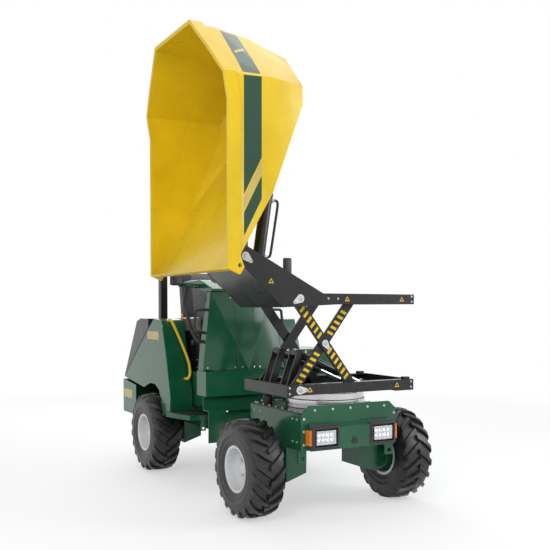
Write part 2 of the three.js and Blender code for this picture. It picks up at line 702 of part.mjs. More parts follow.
function rearHood() {
  const out = BODY_HALF;
  const outline = [[1722, 815.5], [1337, 1377], [1232, 1404], [1015, 1404], [1015, 1322]];
  const hollow = [[1800, 755], [1711, 823], [1332, 1372], [1231, 1399], [1020, 1399], [1020, 1200]];
  const posts = bothSides((s) =>
    box(s * (ROPS_X - 36.5), s * (ROPS_X + 36.5), ROPS_Y - 36.5, ROPS_Y + 36.5, 1200, 1500),
  );
  const lid = cut(plate("x", outline, -out, out), plate("x", hollow, -out + SKIN, out - SKIN), posts);
  const bulkhead = box(-FENDER_IN + 0.4, FENDER_IN - 0.4, 1015, 1020, FLOOR_TOP + 5, 1330);
  add("hood", join(lid, bulkhead), "black");

  const out2 = 700;
  const rear = 1747;
  const seam = [[rear, 790], [1345, 756], [1345, 500], [1400, 464], [rear, 464]];
  const tail = cut(
    plate("x", seam, -out2, out2),
    plate("x", [[REAR_END + GAP, 900], [1300, 900], [1300, 400], [REAR_END + GAP, 400]], -out2 + 6, out2 - 6),
  );
  const shelf = [-1, 1].map((s) => box(s * 480, s * 699, 1704, REAR_END + 2, 780, 786));
  add("tail_panel", join(tail, shelf), "green");

  const half = ROPS_SIZE / 2;
  const post = (x) => box(x - half, x + half, ROPS_Y - half, ROPS_Y + half, REAR_TOP + 6 + GAP, ROPS_TOP);
  const top = box(-ROPS_X, ROPS_X, ROPS_Y - half, ROPS_Y + half, ROPS_TOP - ROPS_SIZE, ROPS_TOP);
  add("rops_frame", join(post(-ROPS_X), post(ROPS_X), top), "black");
}

function cabinetAndRail() {
  const high = box(176, 690, -20, 455, FLOOR_TOP + GAP, 1140);
  const low = box(475 + GAP, 690, -20, 455, REAR_TOP + 6, 942);
  add("left_cabinet", join(high, low), "green");
  const rail = [
    [-628, 668.8, 1385],
    [-628, 616, 1408],
    [-560, 580, 1250],
    [-500, 500, 1035],
    [-510, 440, 940],
    [-530, 440, 880],
    [-536, 499.6, 878],
  ];
  add("handrail", tube(rail, 13, 24), "yellow");
}

wheels();
frontFrame();
nose();
deck();
turntable();
scissor();
liftRams();
upperFrame();
tipRam();
skip();
rearFrame();
floors();
cowl();
controls();
seat();
fenders();
rearHood();
cabinetAndRail();

const frame = new THREE.Box3().setFromObject(group);
const middle = frame.getCenter(new THREE.Vector3());
group.position.set(-middle.x, -middle.y, -frame.min.z);

export default group;
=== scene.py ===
"""Looks of the swivel-skip site dumper. Lengths in mm are measured from the ground between the axles."""
import json
import math

import bmesh
import bpy
from mathutils import Matrix, Vector
from mathutils.bvhtree import BVHTree


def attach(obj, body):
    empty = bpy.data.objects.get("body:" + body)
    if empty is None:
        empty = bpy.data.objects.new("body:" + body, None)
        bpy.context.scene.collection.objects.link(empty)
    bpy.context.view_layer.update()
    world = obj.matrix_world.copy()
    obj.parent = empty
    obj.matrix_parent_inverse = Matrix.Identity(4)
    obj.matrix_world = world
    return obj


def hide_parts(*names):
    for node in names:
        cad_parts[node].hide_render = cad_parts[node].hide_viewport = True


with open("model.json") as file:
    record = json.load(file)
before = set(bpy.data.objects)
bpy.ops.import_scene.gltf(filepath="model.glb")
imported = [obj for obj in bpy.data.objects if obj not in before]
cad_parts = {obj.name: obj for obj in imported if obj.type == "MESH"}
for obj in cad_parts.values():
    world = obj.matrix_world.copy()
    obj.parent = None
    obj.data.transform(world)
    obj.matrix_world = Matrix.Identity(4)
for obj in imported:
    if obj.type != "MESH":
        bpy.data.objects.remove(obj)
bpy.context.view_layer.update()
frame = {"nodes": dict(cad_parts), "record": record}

SHIFT = Vector((0.2253194, -0.0505, 0.0))
BODY = {n: b for b, nodes in frame["record"]["behaviour"]["bodies"].items() for n in nodes}
FRONT, REAR = -960, 960
DECK_TOP = 772
BEAM_FACE = 327


def at(x, y, z):
    return Vector((x, y, z)) / 1000 + SHIFT


# ---- Camera, light and floor ----
def seen(tree):
    """1 for rays that the eye follows: straight, mirrored or through glass."""
    path = tree.nodes.new("ShaderNodeLightPath")
    value = path.outputs["Is Camera Ray"]
    for ray in ("Is Glossy Ray", "Is Transmission Ray"):
        most = tree.nodes.new("ShaderNodeMath")
        most.operation = "MAXIMUM"
        tree.links.new(value, most.inputs[0])
        tree.links.new(path.outputs[ray], most.inputs[1])
        value = most.outputs[0]
    return value


def stage():
    scene = bpy.context.scene
    scene.view_settings.view_transform = "Standard"
    camera = bpy.data.objects.new("camera", bpy.data.cameras.new("camera"))
    scene.collection.objects.link(camera)
    camera.location = Vector((-3.2103, -5.996, 1.5102)) + SHIFT
    camera.rotation_euler = (math.radians(88), 0, math.radians(-28.896))
    camera.data.sensor_width = 36
    camera.data.lens = 51.68
    camera.data.shift_y = 0.1087
    scene.camera = camera

    world = bpy.data.worlds.new("studio")
    scene.world = world
    world.use_nodes = True
    nodes, links = world.node_tree.nodes, world.node_tree.links
    out = nodes["World Output"]
    plain = nodes["Background"]
    plain.inputs["Color"].default_value = (0.95, 0.97, 1, 1)
    plain.inputs["Strength"].default_value = 0.55
    white = nodes.new("ShaderNodeBackground")
    white.inputs["Color"].default_value = (1, 1, 1, 1)
    white.inputs["Strength"].default_value = 1.0
    mix = nodes.new("ShaderNodeMixShader")
    links.new(seen(world.node_tree), mix.inputs[0])
    links.new(plain.outputs[0], mix.inputs[1])
    links.new(white.outputs[0], mix.inputs[2])
    links.new(mix.outputs[0], out.inputs["Surface"])

    def lamp(name, place, aim, size, power, color=(1, 1, 1)):
        data = bpy.data.lights.new(name, "AREA")
        data.shape = "RECTANGLE"
        data.size, data.size_y = size
        data.energy = power
        data.color = color
        o = bpy.data.objects.new(name, data)
        scene.collection.objects.link(o)
        o.location = place
        o.rotation_euler = (Vector(aim) - Vector(place)).to_track_quat("-Z", "Y").to_euler()

    lamp("key", (-4.2, -5.6, 4.6), (0, -0.4, 1.3), (3.4, 3.4), 240, (1, 0.98, 0.95))
    lamp("fill", (5.2, -4.6, 3.6), (0.2, -0.4, 1.1), (3.5, 3.0), 190, (0.96, 0.98, 1))
    lamp("top", (0.2, 0.4, 6.4), (0, 0, 0), (4.5, 4.5), 70)
    lamp("back", (1.6, 5.8, 3.8), (0, 0.3, 1.0), (4.5, 2.2), 150)

    bpy.ops.mesh.primitive_plane_add(size=60, location=(0, 0, -0.0015))
    floor = bpy.context.object
    floor.name = "floor"
    m = bpy.data.materials.new("floor")
    m.use_nodes = True
    n, l = m.node_tree.nodes, m.node_tree.links
    shader = n["Principled BSDF"]
    shader.inputs["Base Color"].default_value = (0.9, 0.9, 0.9, 1)
    shader.inputs["Roughness"].default_value = 0.75
    glow = n.new("ShaderNodeEmission")
    glow.inputs["Color"].default_value = (1, 1, 1, 1)
    glow.inputs["Strength"].default_value = 1.0
    blend = n.new("ShaderNodeMixShader")
    # The floor goes over into the white backdrop with distance from the machine.
    place = n.new("ShaderNodeNewGeometry")
    far = n.new("ShaderNodeVectorMath")
    far.operation = "LENGTH"
    fade = n.new("ShaderNodeMapRange")
    for i, v in enumerate((2.6, 8.0, 0.5, 1.0), 1):
        fade.inputs[i].default_value = v
    l.new(place.outputs["Position"], far.inputs[0])
    l.new(far.outputs["Value"], fade.inputs[0])
    weight = n.new("ShaderNodeMath")
    weight.operation = "MULTIPLY"
    l.new(fade.outputs[0], weight.inputs[1])
    l.new(seen(m.node_tree), weight.inputs[0])
    l.new(weight.outputs[0], blend.inputs[0])
    l.new(shader.outputs[0], blend.inputs[1])
    l.new(glow.outputs[0], blend.inputs[2])
    l.new(blend.outputs[0], n["Material Output"].inputs["Surface"])
    floor.data.materials.append(m)


# ---- Materials ----
class Nodes:
    """A material's node tree with short ways to add the usual nodes."""

    def __init__(self, name):
        self.material = bpy.data.materials.new(name)
        self.material.use_nodes = True
        self.tree = self.material.node_tree
        self.shader = self.tree.nodes["Principled BSDF"]
        self.place = self.new("ShaderNodeTexCoord").outputs["Object"]

    def new(self, kind, **values):
        node = self.tree.nodes.new(kind)
        for key, value in values.items():
            setattr(node, key, value)
        return node

    def link(self, a, b):
        self.tree.links.new(a, b)

    def noise(self, scale, detail=3.0, stretch=None, rough=0.55):
        node = self.new("ShaderNodeTexNoise")
        node.inputs["Scale"].default_value = scale
        node.inputs["Detail"].default_value = detail
        node.inputs["Roughness"].default_value = rough
        source = self.place
        if stretch:
            turn = self.new("ShaderNodeMapping")
            turn.inputs["Scale"].default_value = stretch
            self.link(source, turn.inputs["Vector"])
            source = turn.outputs["Vector"]
        self.link(source, node.inputs["Vector"])
        return node.outputs["Fac"]

    def ramp(self, value, a, b, low=0.35, high=0.65):
        node = self.new("ShaderNodeValToRGB")
        node.color_ramp.elements[0].position = low
        node.color_ramp.elements[0].color = (*a, 1) if len(a) == 3 else a
        node.color_ramp.elements[1].position = high
        node.color_ramp.elements[1].color = (*b, 1) if len(b) == 3 else b
        self.link(value, node.inputs["Fac"])
        return node.outputs["Color"]

    def mix(self, factor, a, b):
        node = self.new("ShaderNodeMix", data_type="RGBA")
        self.link(factor, node.inputs[0])
        for socket, value in ((node.inputs[6], a), (node.inputs[7], b)):
            if isinstance(value, tuple):
                socket.default_value = (*value, 1)
            else:
                self.link(value, socket)
        return node.outputs[2]

    def math(self, kind, a, b=None, clamp=False):
        node = self.new("ShaderNodeMath", operation=kind, use_clamp=clamp)
        for socket, value in zip(node.inputs, (a, b)):
            if value is None:
                continue
            if isinstance(value, (int, float)):
                socket.default_value = value
            else:
                self.link(value, socket)
        return node.outputs[0]

    def span(self, value, low, high, a=0.0, b=1.0):
        node = self.new("ShaderNodeMapRange")
        for i, v in enumerate((low, high, a, b), 1):
            node.inputs[i].default_value = v
        self.link(value, node.inputs[0])
        return node.outputs[0]

    def axis(self, name):
        node = self.new("ShaderNodeSeparateXYZ")
        self.link(self.place, node.inputs[0])
        return node.outputs[name]

    def bump(self, height, strength, distance, under=None):
        node = self.new("ShaderNodeBump")
        node.inputs["Strength"].default_value = strength
        node.inputs["Distance"].default_value = distance
        self.link(height, node.inputs["Height"])
        if under:
            self.link(under, node.inputs["Normal"])
        return node.outputs["Normal"]

    def finish(self, color, normal=None, rough=None, **fixed):
        s = self.shader.inputs
        self.link(color, s["Base Color"])
        if normal:
            self.link(normal, s["Normal"])
        if rough:
            self.link(rough, s["Roughness"])
        for key, value in fixed.items():
            s[key.replace("_", " ")].default_value = value
        return self.material


def worn_paint(name, color, bare, rough=0.28, coat=0.45, dust=0.25, peel=0.12):
    """Sprayed paint: faint cloudiness, orange peel, rubbed edges and road dust towards the ground."""
    n = Nodes(name)
    dark = tuple(c * 0.86 for c in color)
    light = tuple(min(1, c * 1.08 + 0.003) for c in color)
    base = n.ramp(n.noise(2.6, 4), dark, light, 0.3, 0.7)
    pointed = n.new("ShaderNodeNewGeometry").outputs["Pointiness"]
    edge = n.math("MULTIPLY", n.span(pointed, 0.53, 0.6), n.span(n.noise(34, 5), 0.52, 0.66), clamp=True)
    base = n.mix(n.math("MULTIPLY", edge, 0.22), base, bare)
    low = n.span(n.axis("Z"), 0.95, 0.15)
    grime = n.math("MULTIPLY", n.math("MULTIPLY", low, n.span(n.noise(5, 4, rough=0.6), 0.4, 0.75)), dust,
        clamp=True)
    base = n.mix(grime, base, (0.21, 0.18, 0.14))
    fine = n.bump(n.noise(420, 2), peel, 0.0004)
    wide = n.bump(n.noise(3.2, 2), 0.1, 0.004, fine)
    shine = n.math("ADD", n.span(n.noise(7, 5), 0.3, 0.7, rough - 0.05, rough + 0.07),
        n.math("MULTIPLY", grime, 0.5))
    return n.finish(base, wide, shine, Coat_Weight=coat, Coat_Roughness=0.1, Specular_IOR_Level=0.28)


def metal(name, color, rough, stretch, scale=160, metallic=1.0):
    n = Nodes(name)
    lines = n.noise(scale, 4, stretch)
    base = n.ramp(lines, tuple(c * 0.82 for c in color), color, 0.3, 0.7)
    shine = n.span(lines, 0.25, 0.75, rough - 0.06, rough + 0.1)
    return n.finish(base, n.bump(lines, 0.12, 0.0004), shine, Metallic=metallic)


def rubber(name, color, dust=0.5, rough=0.72):
    n = Nodes(name)
    base = n.ramp(n.noise(14, 6), tuple(c * 0.7 for c in color), tuple(c * 1.5 for c in color))
    low = n.span(n.noise(26, 6, rough=0.7), 0.5, 0.8)
    base = n.mix(n.math("MULTIPLY", low, dust, clamp=True), base, (0.13, 0.115, 0.095))
    return n.finish(base, n.bump(n.noise(190, 4), 0.25, 0.0008),
        n.span(low, 0, 1, rough - 0.08, rough + 0.12))


def plastic(name, color, rough=0.45, grain=900):
    n = Nodes(name)
    base = n.ramp(n.noise(5, 4), tuple(c * 0.85 for c in color), tuple(c * 1.15 for c in color))
    cell = n.new("ShaderNodeTexVoronoi")
    cell.inputs["Scale"].default_value = grain
    n.link(n.place, cell.inputs["Vector"])
    return n.finish(base, n.bump(cell.outputs["Distance"], 0.18, 0.0004),
        n.span(n.noise(11, 4), 0.3, 0.7, rough - 0.06, rough + 0.1))


def cloth(name, color, thread=0.0026):
    """Woven seat cloth: crossing threads, mottled yarn and a soft sheen."""
    n = Nodes(name)
    k = 2 * math.pi / thread
    wave = lambda axis: n.math("SINE", n.math("MULTIPLY", n.axis(axis), k))
    height = n.math("MULTIPLY", wave("X"), n.math("ADD", wave("Y"), wave("Z")))
    yarn = n.ramp(n.noise(260, 4), tuple(c * 0.65 for c in color), tuple(c * 1.35 for c in color))
    base = n.mix(n.span(height, -1, 1, 0, 0.35), yarn, tuple(c * 0.5 for c in color))
    fold = n.bump(n.noise(18, 3), 0.2, 0.004)
    return n.finish(base, n.bump(height, 0.35, 0.0006, fold), n.span(n.noise(30, 3), 0.3, 0.7, 0.8, 0.95),
        Sheen_Weight=0.35)


def lens(name, color, rough=0.06, glow=0.0, ribs=0.012):
    n = Nodes(name)
    k = 2 * math.pi / ribs
    flute = n.math("SINE", n.math("MULTIPLY", n.axis("X"), k))
    tint = n.ramp(n.noise(60, 2), tuple(c * 0.9 for c in color), color)
    m = n.finish(tint, n.bump(flute, 0.25, 0.002), n.span(n.noise(90, 2), 0.3, 0.7, rough, rough + 0.05),
        Transmission_Weight=0.55, IOR=1.49)
    if glow:
        n.shader.inputs["Emission Color"].default_value = (*color, 1)
        n.shader.inputs["Emission Strength"].default_value = glow
    return m


def tread_plate(name, color):
    """Steel sheet with raised drops, all stretched the same way."""
    n = Nodes(name)
    cell = n.new("ShaderNodeTexVoronoi", feature="F1")
    cell.inputs["Scale"].default_value = 34
    turn = n.new("ShaderNodeMapping")
    turn.inputs["Rotation"].default_value = (0, 0, 0.8)
    turn.inputs["Scale"].default_value = (1, 2.3, 1)
    n.link(n.place, turn.inputs["Vector"])
    n.link(turn.outputs["Vector"], cell.inputs["Vector"])
    drop = n.span(cell.outputs["Distance"], 0.16, 0.3, 1, 0)
    base = n.mix(drop, n.ramp(n.noise(12, 5), tuple(c * 0.7 for c in color), color),
        tuple(min(1, c * 2.2 + 0.02) for c in color))
    return n.finish(base, n.bump(drop, 0.7, 0.003), n.span(n.noise(30, 4), 0.3, 0.7, 0.35, 0.5), Metallic=0.2)


def make_materials():
    steel = (0.42, 0.42, 0.42)
    made = {
        "green": worn_paint("green_paint", (0.005, 0.084, 0.036), (0.04, 0.11, 0.07), 0.2, 0.3, dust=0.08),
        "yellow": worn_paint("yellow_paint", (0.66, 0.45, 0.006), (0.6, 0.45, 0.05), 0.3, 0.15, dust=0.04),
        "black": worn_paint("black_paint", (0.0115, 0.012, 0.013), (0.08, 0.08, 0.08), 0.28, 0.2, dust=0.06),
        "silver": worn_paint("silver_paint", (0.56, 0.575, 0.59), steel, 0.24, 0.4, dust=0.12),
        "decal_green": worn_paint("decal_green", (0.008, 0.05, 0.026), (0.02, 0.07, 0.04), 0.3, 0.4),
        "decal_tan": worn_paint("decal_tan", (0.5, 0.4, 0.13), (0.5, 0.42, 0.2), 0.32, 0.3),
        "orange": worn_paint("orange_plate", (0.86, 0.24, 0.01), (0.6, 0.25, 0.08), 0.35, 0.3),
        "steel": metal("turned_steel", (0.66, 0.66, 0.67), 0.26, (1, 1, 14)),
        "chrome": metal("rod_chrome", (0.72, 0.73, 0.75), 0.12, (1, 1, 30), 240),
        "bolt": metal("zinc_bolt", (0.48, 0.47, 0.45), 0.34, (1, 1, 1), 300),
        "tyre": rubber("tyre_rubber", (0.008, 0.008, 0.0085), 0.22, 0.46),
        "rubber": rubber("black_rubber", (0.012, 0.012, 0.013), 0.15, 0.6),
        "plastic": plastic("black_plastic", (0.018, 0.018, 0.02)),
        "cloth": cloth("seat_cloth", (0.15, 0.152, 0.16)),
        "cloth_dark": cloth("bolster_cloth", (0.045, 0.045, 0.05)),
        "lamp": lens("lamp_lens", (0.95, 0.97, 1.0)),
        "led": lens("led_core", (1.0, 0.97, 0.9), 0.2, 2.2, 0.008),
        "amber": lens("amber_lens", (1.0, 0.28, 0.01), 0.15, 0.12),
        "red": lens("red_lens", (0.75, 0.012, 0.008), 0.15, 0.08),
        "reflector": metal("reflector", (0.85, 0.86, 0.88), 0.12, (1, 1, 1), 80),
        "tread": tread_plate("step_plate", (0.02, 0.021, 0.022)),
        "mirror": metal("mirror_face", (0.82, 0.84, 0.86), 0.08, (1, 1, 1), 20),
    }
    return made


# ---- Making pieces ----
def piece(name, body, mesh, material, smooth=None, bevel=0.0, segments=2):
    """An object that rides on a body, shaded smooth below the angle smooth and with rounded edges."""
    o = bpy.data.objects.new(name, mesh)
    bpy.context.scene.collection.objects.link(o)
    for m in material if isinstance(material, (list, tuple)) else [material]:
        o.data.materials.append(MAT[m])
    if bevel:
        b = o.modifiers.new("round", "BEVEL")
        b.width = bevel
        b.segments = segments
        b.limit_method = "ANGLE"
        b.angle_limit = math.radians(28)
        b.harden_normals = False
        b.use_clamp_overlap = True
    if smooth is not None:
        o.data.shade_smooth()
        o.data.set_sharp_from_angle(angle=math.radians(smooth))
    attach(o, body)
    return o


def mesh_of(name, build):
    mesh = bpy.data.meshes.new(name)
    bm = bmesh.new()
    build(bm)
    bmesh.ops.recalc_face_normals(bm, faces=bm.faces)
    bm.to_mesh(mesh)
    bm.free()
    return mesh

def lathe(name, profile, matrix, sides=48):
    """One profile spun round an axis, as a mesh."""
    return mesh_of(name, lambda bm: spin(bm, profile, matrix, sides))


def slab(name, outline, matrix, depth):
    """One flat outline with a depth, as a mesh."""
    return mesh_of(name, lambda bm: prism(bm, outline, matrix, depth))


def block(name, *box):
    """One square block between two limits on each axis, as a mesh."""
    return mesh_of(name, lambda bm: brick(bm, *box))


def frame_on(centre, normal, up=(0, 0, 1)):
    """A frame whose +Z is the normal, at a point."""
    z = Vector(normal).normalized()
    x = Vector(up).cross(z)
    if x.length < 1e-4:
        x = Vector((1, 0, 0)).cross(z) if abs(z.x) < 0.9 else Vector((0, 1, 0)).cross(z)
    x.normalize()
    m = Matrix((x, z.cross(x), z)).transposed().to_4x4()
    m.translation = centre
    return m


def spin(bm, profile, matrix, sides=48):
    """A turned shape: profile points are (radius, height) in mm about the frame's +Z."""
    rings = []
    for r, h in profile:
        if r < 1e-6:
            rings.append([bm.verts.new(matrix @ Vector((0, 0, h / 1000)))])
            continue
        ring = []
        for i in range(sides):
            a = 2 * math.pi * i / sides
            ring.append(bm.verts.new(matrix @ (Vector((r * math.cos(a), r * math.sin(a), h)) / 1000)))
        rings.append(ring)
    for a, b in zip(rings, rings[1:]):
        for i in range(sides):
            j = (i + 1) % sides
            if len(a) == 1 and len(b) == 1:
                break
            if len(a) == 1:
                bm.faces.new((a[0], b[j], b[i]))
            elif len(b) == 1:
                bm.faces.new((a[i], a[j], b[0]))
            else:
                bm.faces.new((a[i], a[j], b[j], b[i]))


def rounded(r, h0, h1, c):
    """Profile of a disc or bar with chamfered ends."""
    return [(0, h0), (r - c, h0), (r, h0 + c), (r, h1 - c), (r - c, h1), (0, h1)]


def prism(bm, outline, matrix, depth):
    """An outline in mm in the frame's XY plane, raised along its +Z."""
    low = [bm.verts.new(matrix @ (Vector((x, y, 0)) / 1000)) for x, y in outline]
    high = [bm.verts.new(matrix @ (Vector((x, y, depth)) / 1000)) for x, y in outline]
    bm.faces.new(low[::-1])
    bm.faces.new(high)
    n = len(low)
    for i in range(n):
        j = (i + 1) % n
        bm.faces.new((low[i], low[j], high[j], high[i]))


def brick(bm, x0, x1, y0, y1, z0, z1):
    m = Matrix.Translation(at(x0, y0, z0))
    prism(bm, [(0, 0), (x1 - x0, 0), (x1 - x0, y1 - y0), (0, y1 - y0)], m, z1 - z0)


def hexagon(bm, centre, normal, across, height, washer=True):
    m = frame_on(centre, normal)
    if washer:
        spin(bm, [(0, -1), (across * 0.66, -1), (across * 0.66, 1.6), (0, 1.6)], m, 16)
    r = across / math.sqrt(3)
    spin(bm, [(0, 0), (r, 0), (r, height - 1), (r - 1.4, height), (0, height)], m, 6)


def bolts(name, body, points, normal, across=15, height=7, washer=True):
    mesh = mesh_of(name, lambda bm: [hexagon(bm, p, normal, across, height, washer) for p in points])
    return piece(name, body, mesh, "bolt", smooth=25)


def sweep(name, body, points, r, material, resolution=6, bend=6):
    """A round tube along a smooth curve through points in mm."""
    curve = bpy.data.curves.new(name, "CURVE")
    curve.dimensions = "3D"
    curve.bevel_depth = r / 1000
    curve.bevel_resolution = resolution
    curve.use_fill_caps = True
    curve.resolution_u = bend
    s = curve.splines.new("NURBS")
    s.points.add(len(points) - 1)
    for p, q in zip(s.points, points):
        p.co = (*at(*q), 1)
    s.use_endpoint_u = True
    s.order_u = min(3, len(points))
    draft = bpy.data.objects.new(name + "_draft", curve)
    bpy.context.scene.collection.objects.link(draft)
    deps = bpy.context.evaluated_depsgraph_get()
    mesh = bpy.data.meshes.new_from_object(draft.evaluated_get(deps))
    bpy.data.objects.remove(draft)
    mesh.materials.clear()
    return piece(name, body, mesh, material, smooth=50)


class Skin:
    """A node's surface, for laying thin marks and fittings on it."""

    def __init__(self, node):
        source = frame["nodes"][node]
        bm = bmesh.new()
        bm.from_mesh(source.data)
        bm.transform(source.matrix_world)
        self.tree = BVHTree.FromBMesh(bm)
        bm.free()

    def hit(self, point, way, back=0.6):
        """Where a line through a point (mm) meets the surface, and the outward normal there."""
        way = Vector(way).normalized()
        spot, normal, _, _ = self.tree.ray_cast(at(*point) - way * back, way)
        if spot is None:
            return at(*point), -way
        return spot, (-normal if normal.dot(way) > 0 else normal)


def soften(node, material, width=0.0025, segments=2, smooth=30):
    """The node's own shape with its flat faces cleaned and its edges rounded."""
    source = frame["nodes"][node]
    bm = bmesh.new()
    bm.from_mesh(source.data)
    bm.transform(source.matrix_world)
    bmesh.ops.remove_doubles(bm, verts=bm.verts, dist=2e-5)
    bmesh.ops.dissolve_limit(bm, angle_limit=math.radians(1.2), verts=bm.verts, edges=bm.edges)
    mesh = bpy.data.meshes.new(node + "_body")
    bm.to_mesh(mesh)
    bm.free()
    o = piece(node + "_body", BODY[node], mesh, material, smooth, width, segments)
    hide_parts(node)
    return o


def standing(name, node, mesh, material, smooth=30, bevel=0.0):
    """A new shape that stands for a node."""
    o = piece(name, BODY[node], mesh, material, smooth, bevel)
    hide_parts(node)
    return o


# ---- Wheels ----
def lug(bm, matrix, side, turn):
    """One tread bar: it leans from the middle of the tread out over the shoulder."""
    rows = []
    for t in (0.0, 0.3, 0.6, 0.85, 1.0):
        across = side * (-6 + 138 * min(t, 0.96))
        lean = turn + 0.33 * (t ** 1.25)
        top = (355, 354.6, 352, 343, 316)[len(rows)]
        low = (326, 326, 322, 312, 296)[len(rows)]
        half = (15, 16.5, 18.5, 20, 17)[len(rows)]
        ring = []
        for r, w in ((low, half + 7), (top, half), (top, -half), (low, -half - 7)):
            a = lean + w / r
            ring.append(bm.verts.new(matrix @ (Vector((r * math.cos(a), r * math.sin(a), across)) / 1000)))
        rows.append(ring)
    for a, b in zip(rows, rows[1:]):
        for i in range(4):
            j = (i + 1) % 4
            bm.faces.new((a[i], a[j], b[j], b[i]))
    bm.faces.new(rows[0][::-1])
    bm.faces.new(rows[-1])


CARCASS = [
    (160, -104), (166, -112), (186, -119), (200, -121), (203, -123.5), (208, -121.5), (240, -126),
        (243, -128.5),
    (248, -127), (285, -127), (306, -122), (322, -108), (329, -80), (331, 0),
]


def wheel(end, side, way):
    y = FRONT if end == "front" else REAR
    m = frame_on(at(way * 645, y, 355), (way, 0, 0))
    body = f"wheel_{end}_{side}"

    def tyre(bm):
        full = CARCASS + [(r, -h) for r, h in CARCASS[-2::-1]]
        spin(bm, full + [(160, 60), (160, -60), full[0]], m, 96)
        for i in range(19):
            a = 2 * math.pi * i / 19
            lug(bm, m, 1, a)
            lug(bm, m, -1, a + math.pi / 19)

    standing(f"tyre_{end}_{side}_tread", f"tyre_{end}_{side}", mesh_of("tread", tyre), "tyre", 32)

    def rim(bm):
        well = [
            (148, -113), (158, -114), (170, -113), (171, -110), (165, -107.5), (159.5, -104), (158, -60),
                (150, -48),
            (150, 44), (158, 58), (159.5, 104), (165, 107.5), (171, 110), (170, 113), (158, 114), (150, 111),
            (144, 96), (143, 62), (138, 46), (128, 40), (112, 37), (92, 27), (80, 24), (0, 24),
        ]
        spin(bm, well + [(0, 14), (84, 14), (100, 20), (140, 30), (146, -100), (148, -113)], m, 72)

    standing(f"rim_{end}_{side}_dish", f"rim_{end}_{side}", mesh_of("dish", rim), "silver", 32)

    def hub(bm):
        cap = [(62, 24), (62, 31), (58, 34), (46, 35), (44, 54), (40, 58), (30, 60), (28, 63), (0, 63)]
        spin(bm, [(0, 22)] + cap, m, 48)

    piece(f"hub_{end}_{side}", body, mesh_of("hub", hub), "silver", smooth=32)
    spots = [m @ Vector((0.0715 * math.cos(a), 0.0715 * math.sin(a), 0.0245))
        for a in [2 * math.pi * i / 8 for i in range(8)]]
    bolts(f"wheel_nuts_{end}_{side}", body, spots, (way, 0, 0), 17, 12)

    def valve(bm):
        v = m @ Matrix.Translation((0.118, 0, 0.038))
        spin(bm, [(0, 0), (6, 0), (6, 8), (4, 10), (4, 22), (0, 23)], v, 12)

    piece(f"valve_{end}_{side}", body, mesh_of("valve", valve), "rubber", smooth=30)


def wheels():
    for end in ("front", "rear"):
        wheel(end, "right", -1)
        wheel(end, "left", 1)


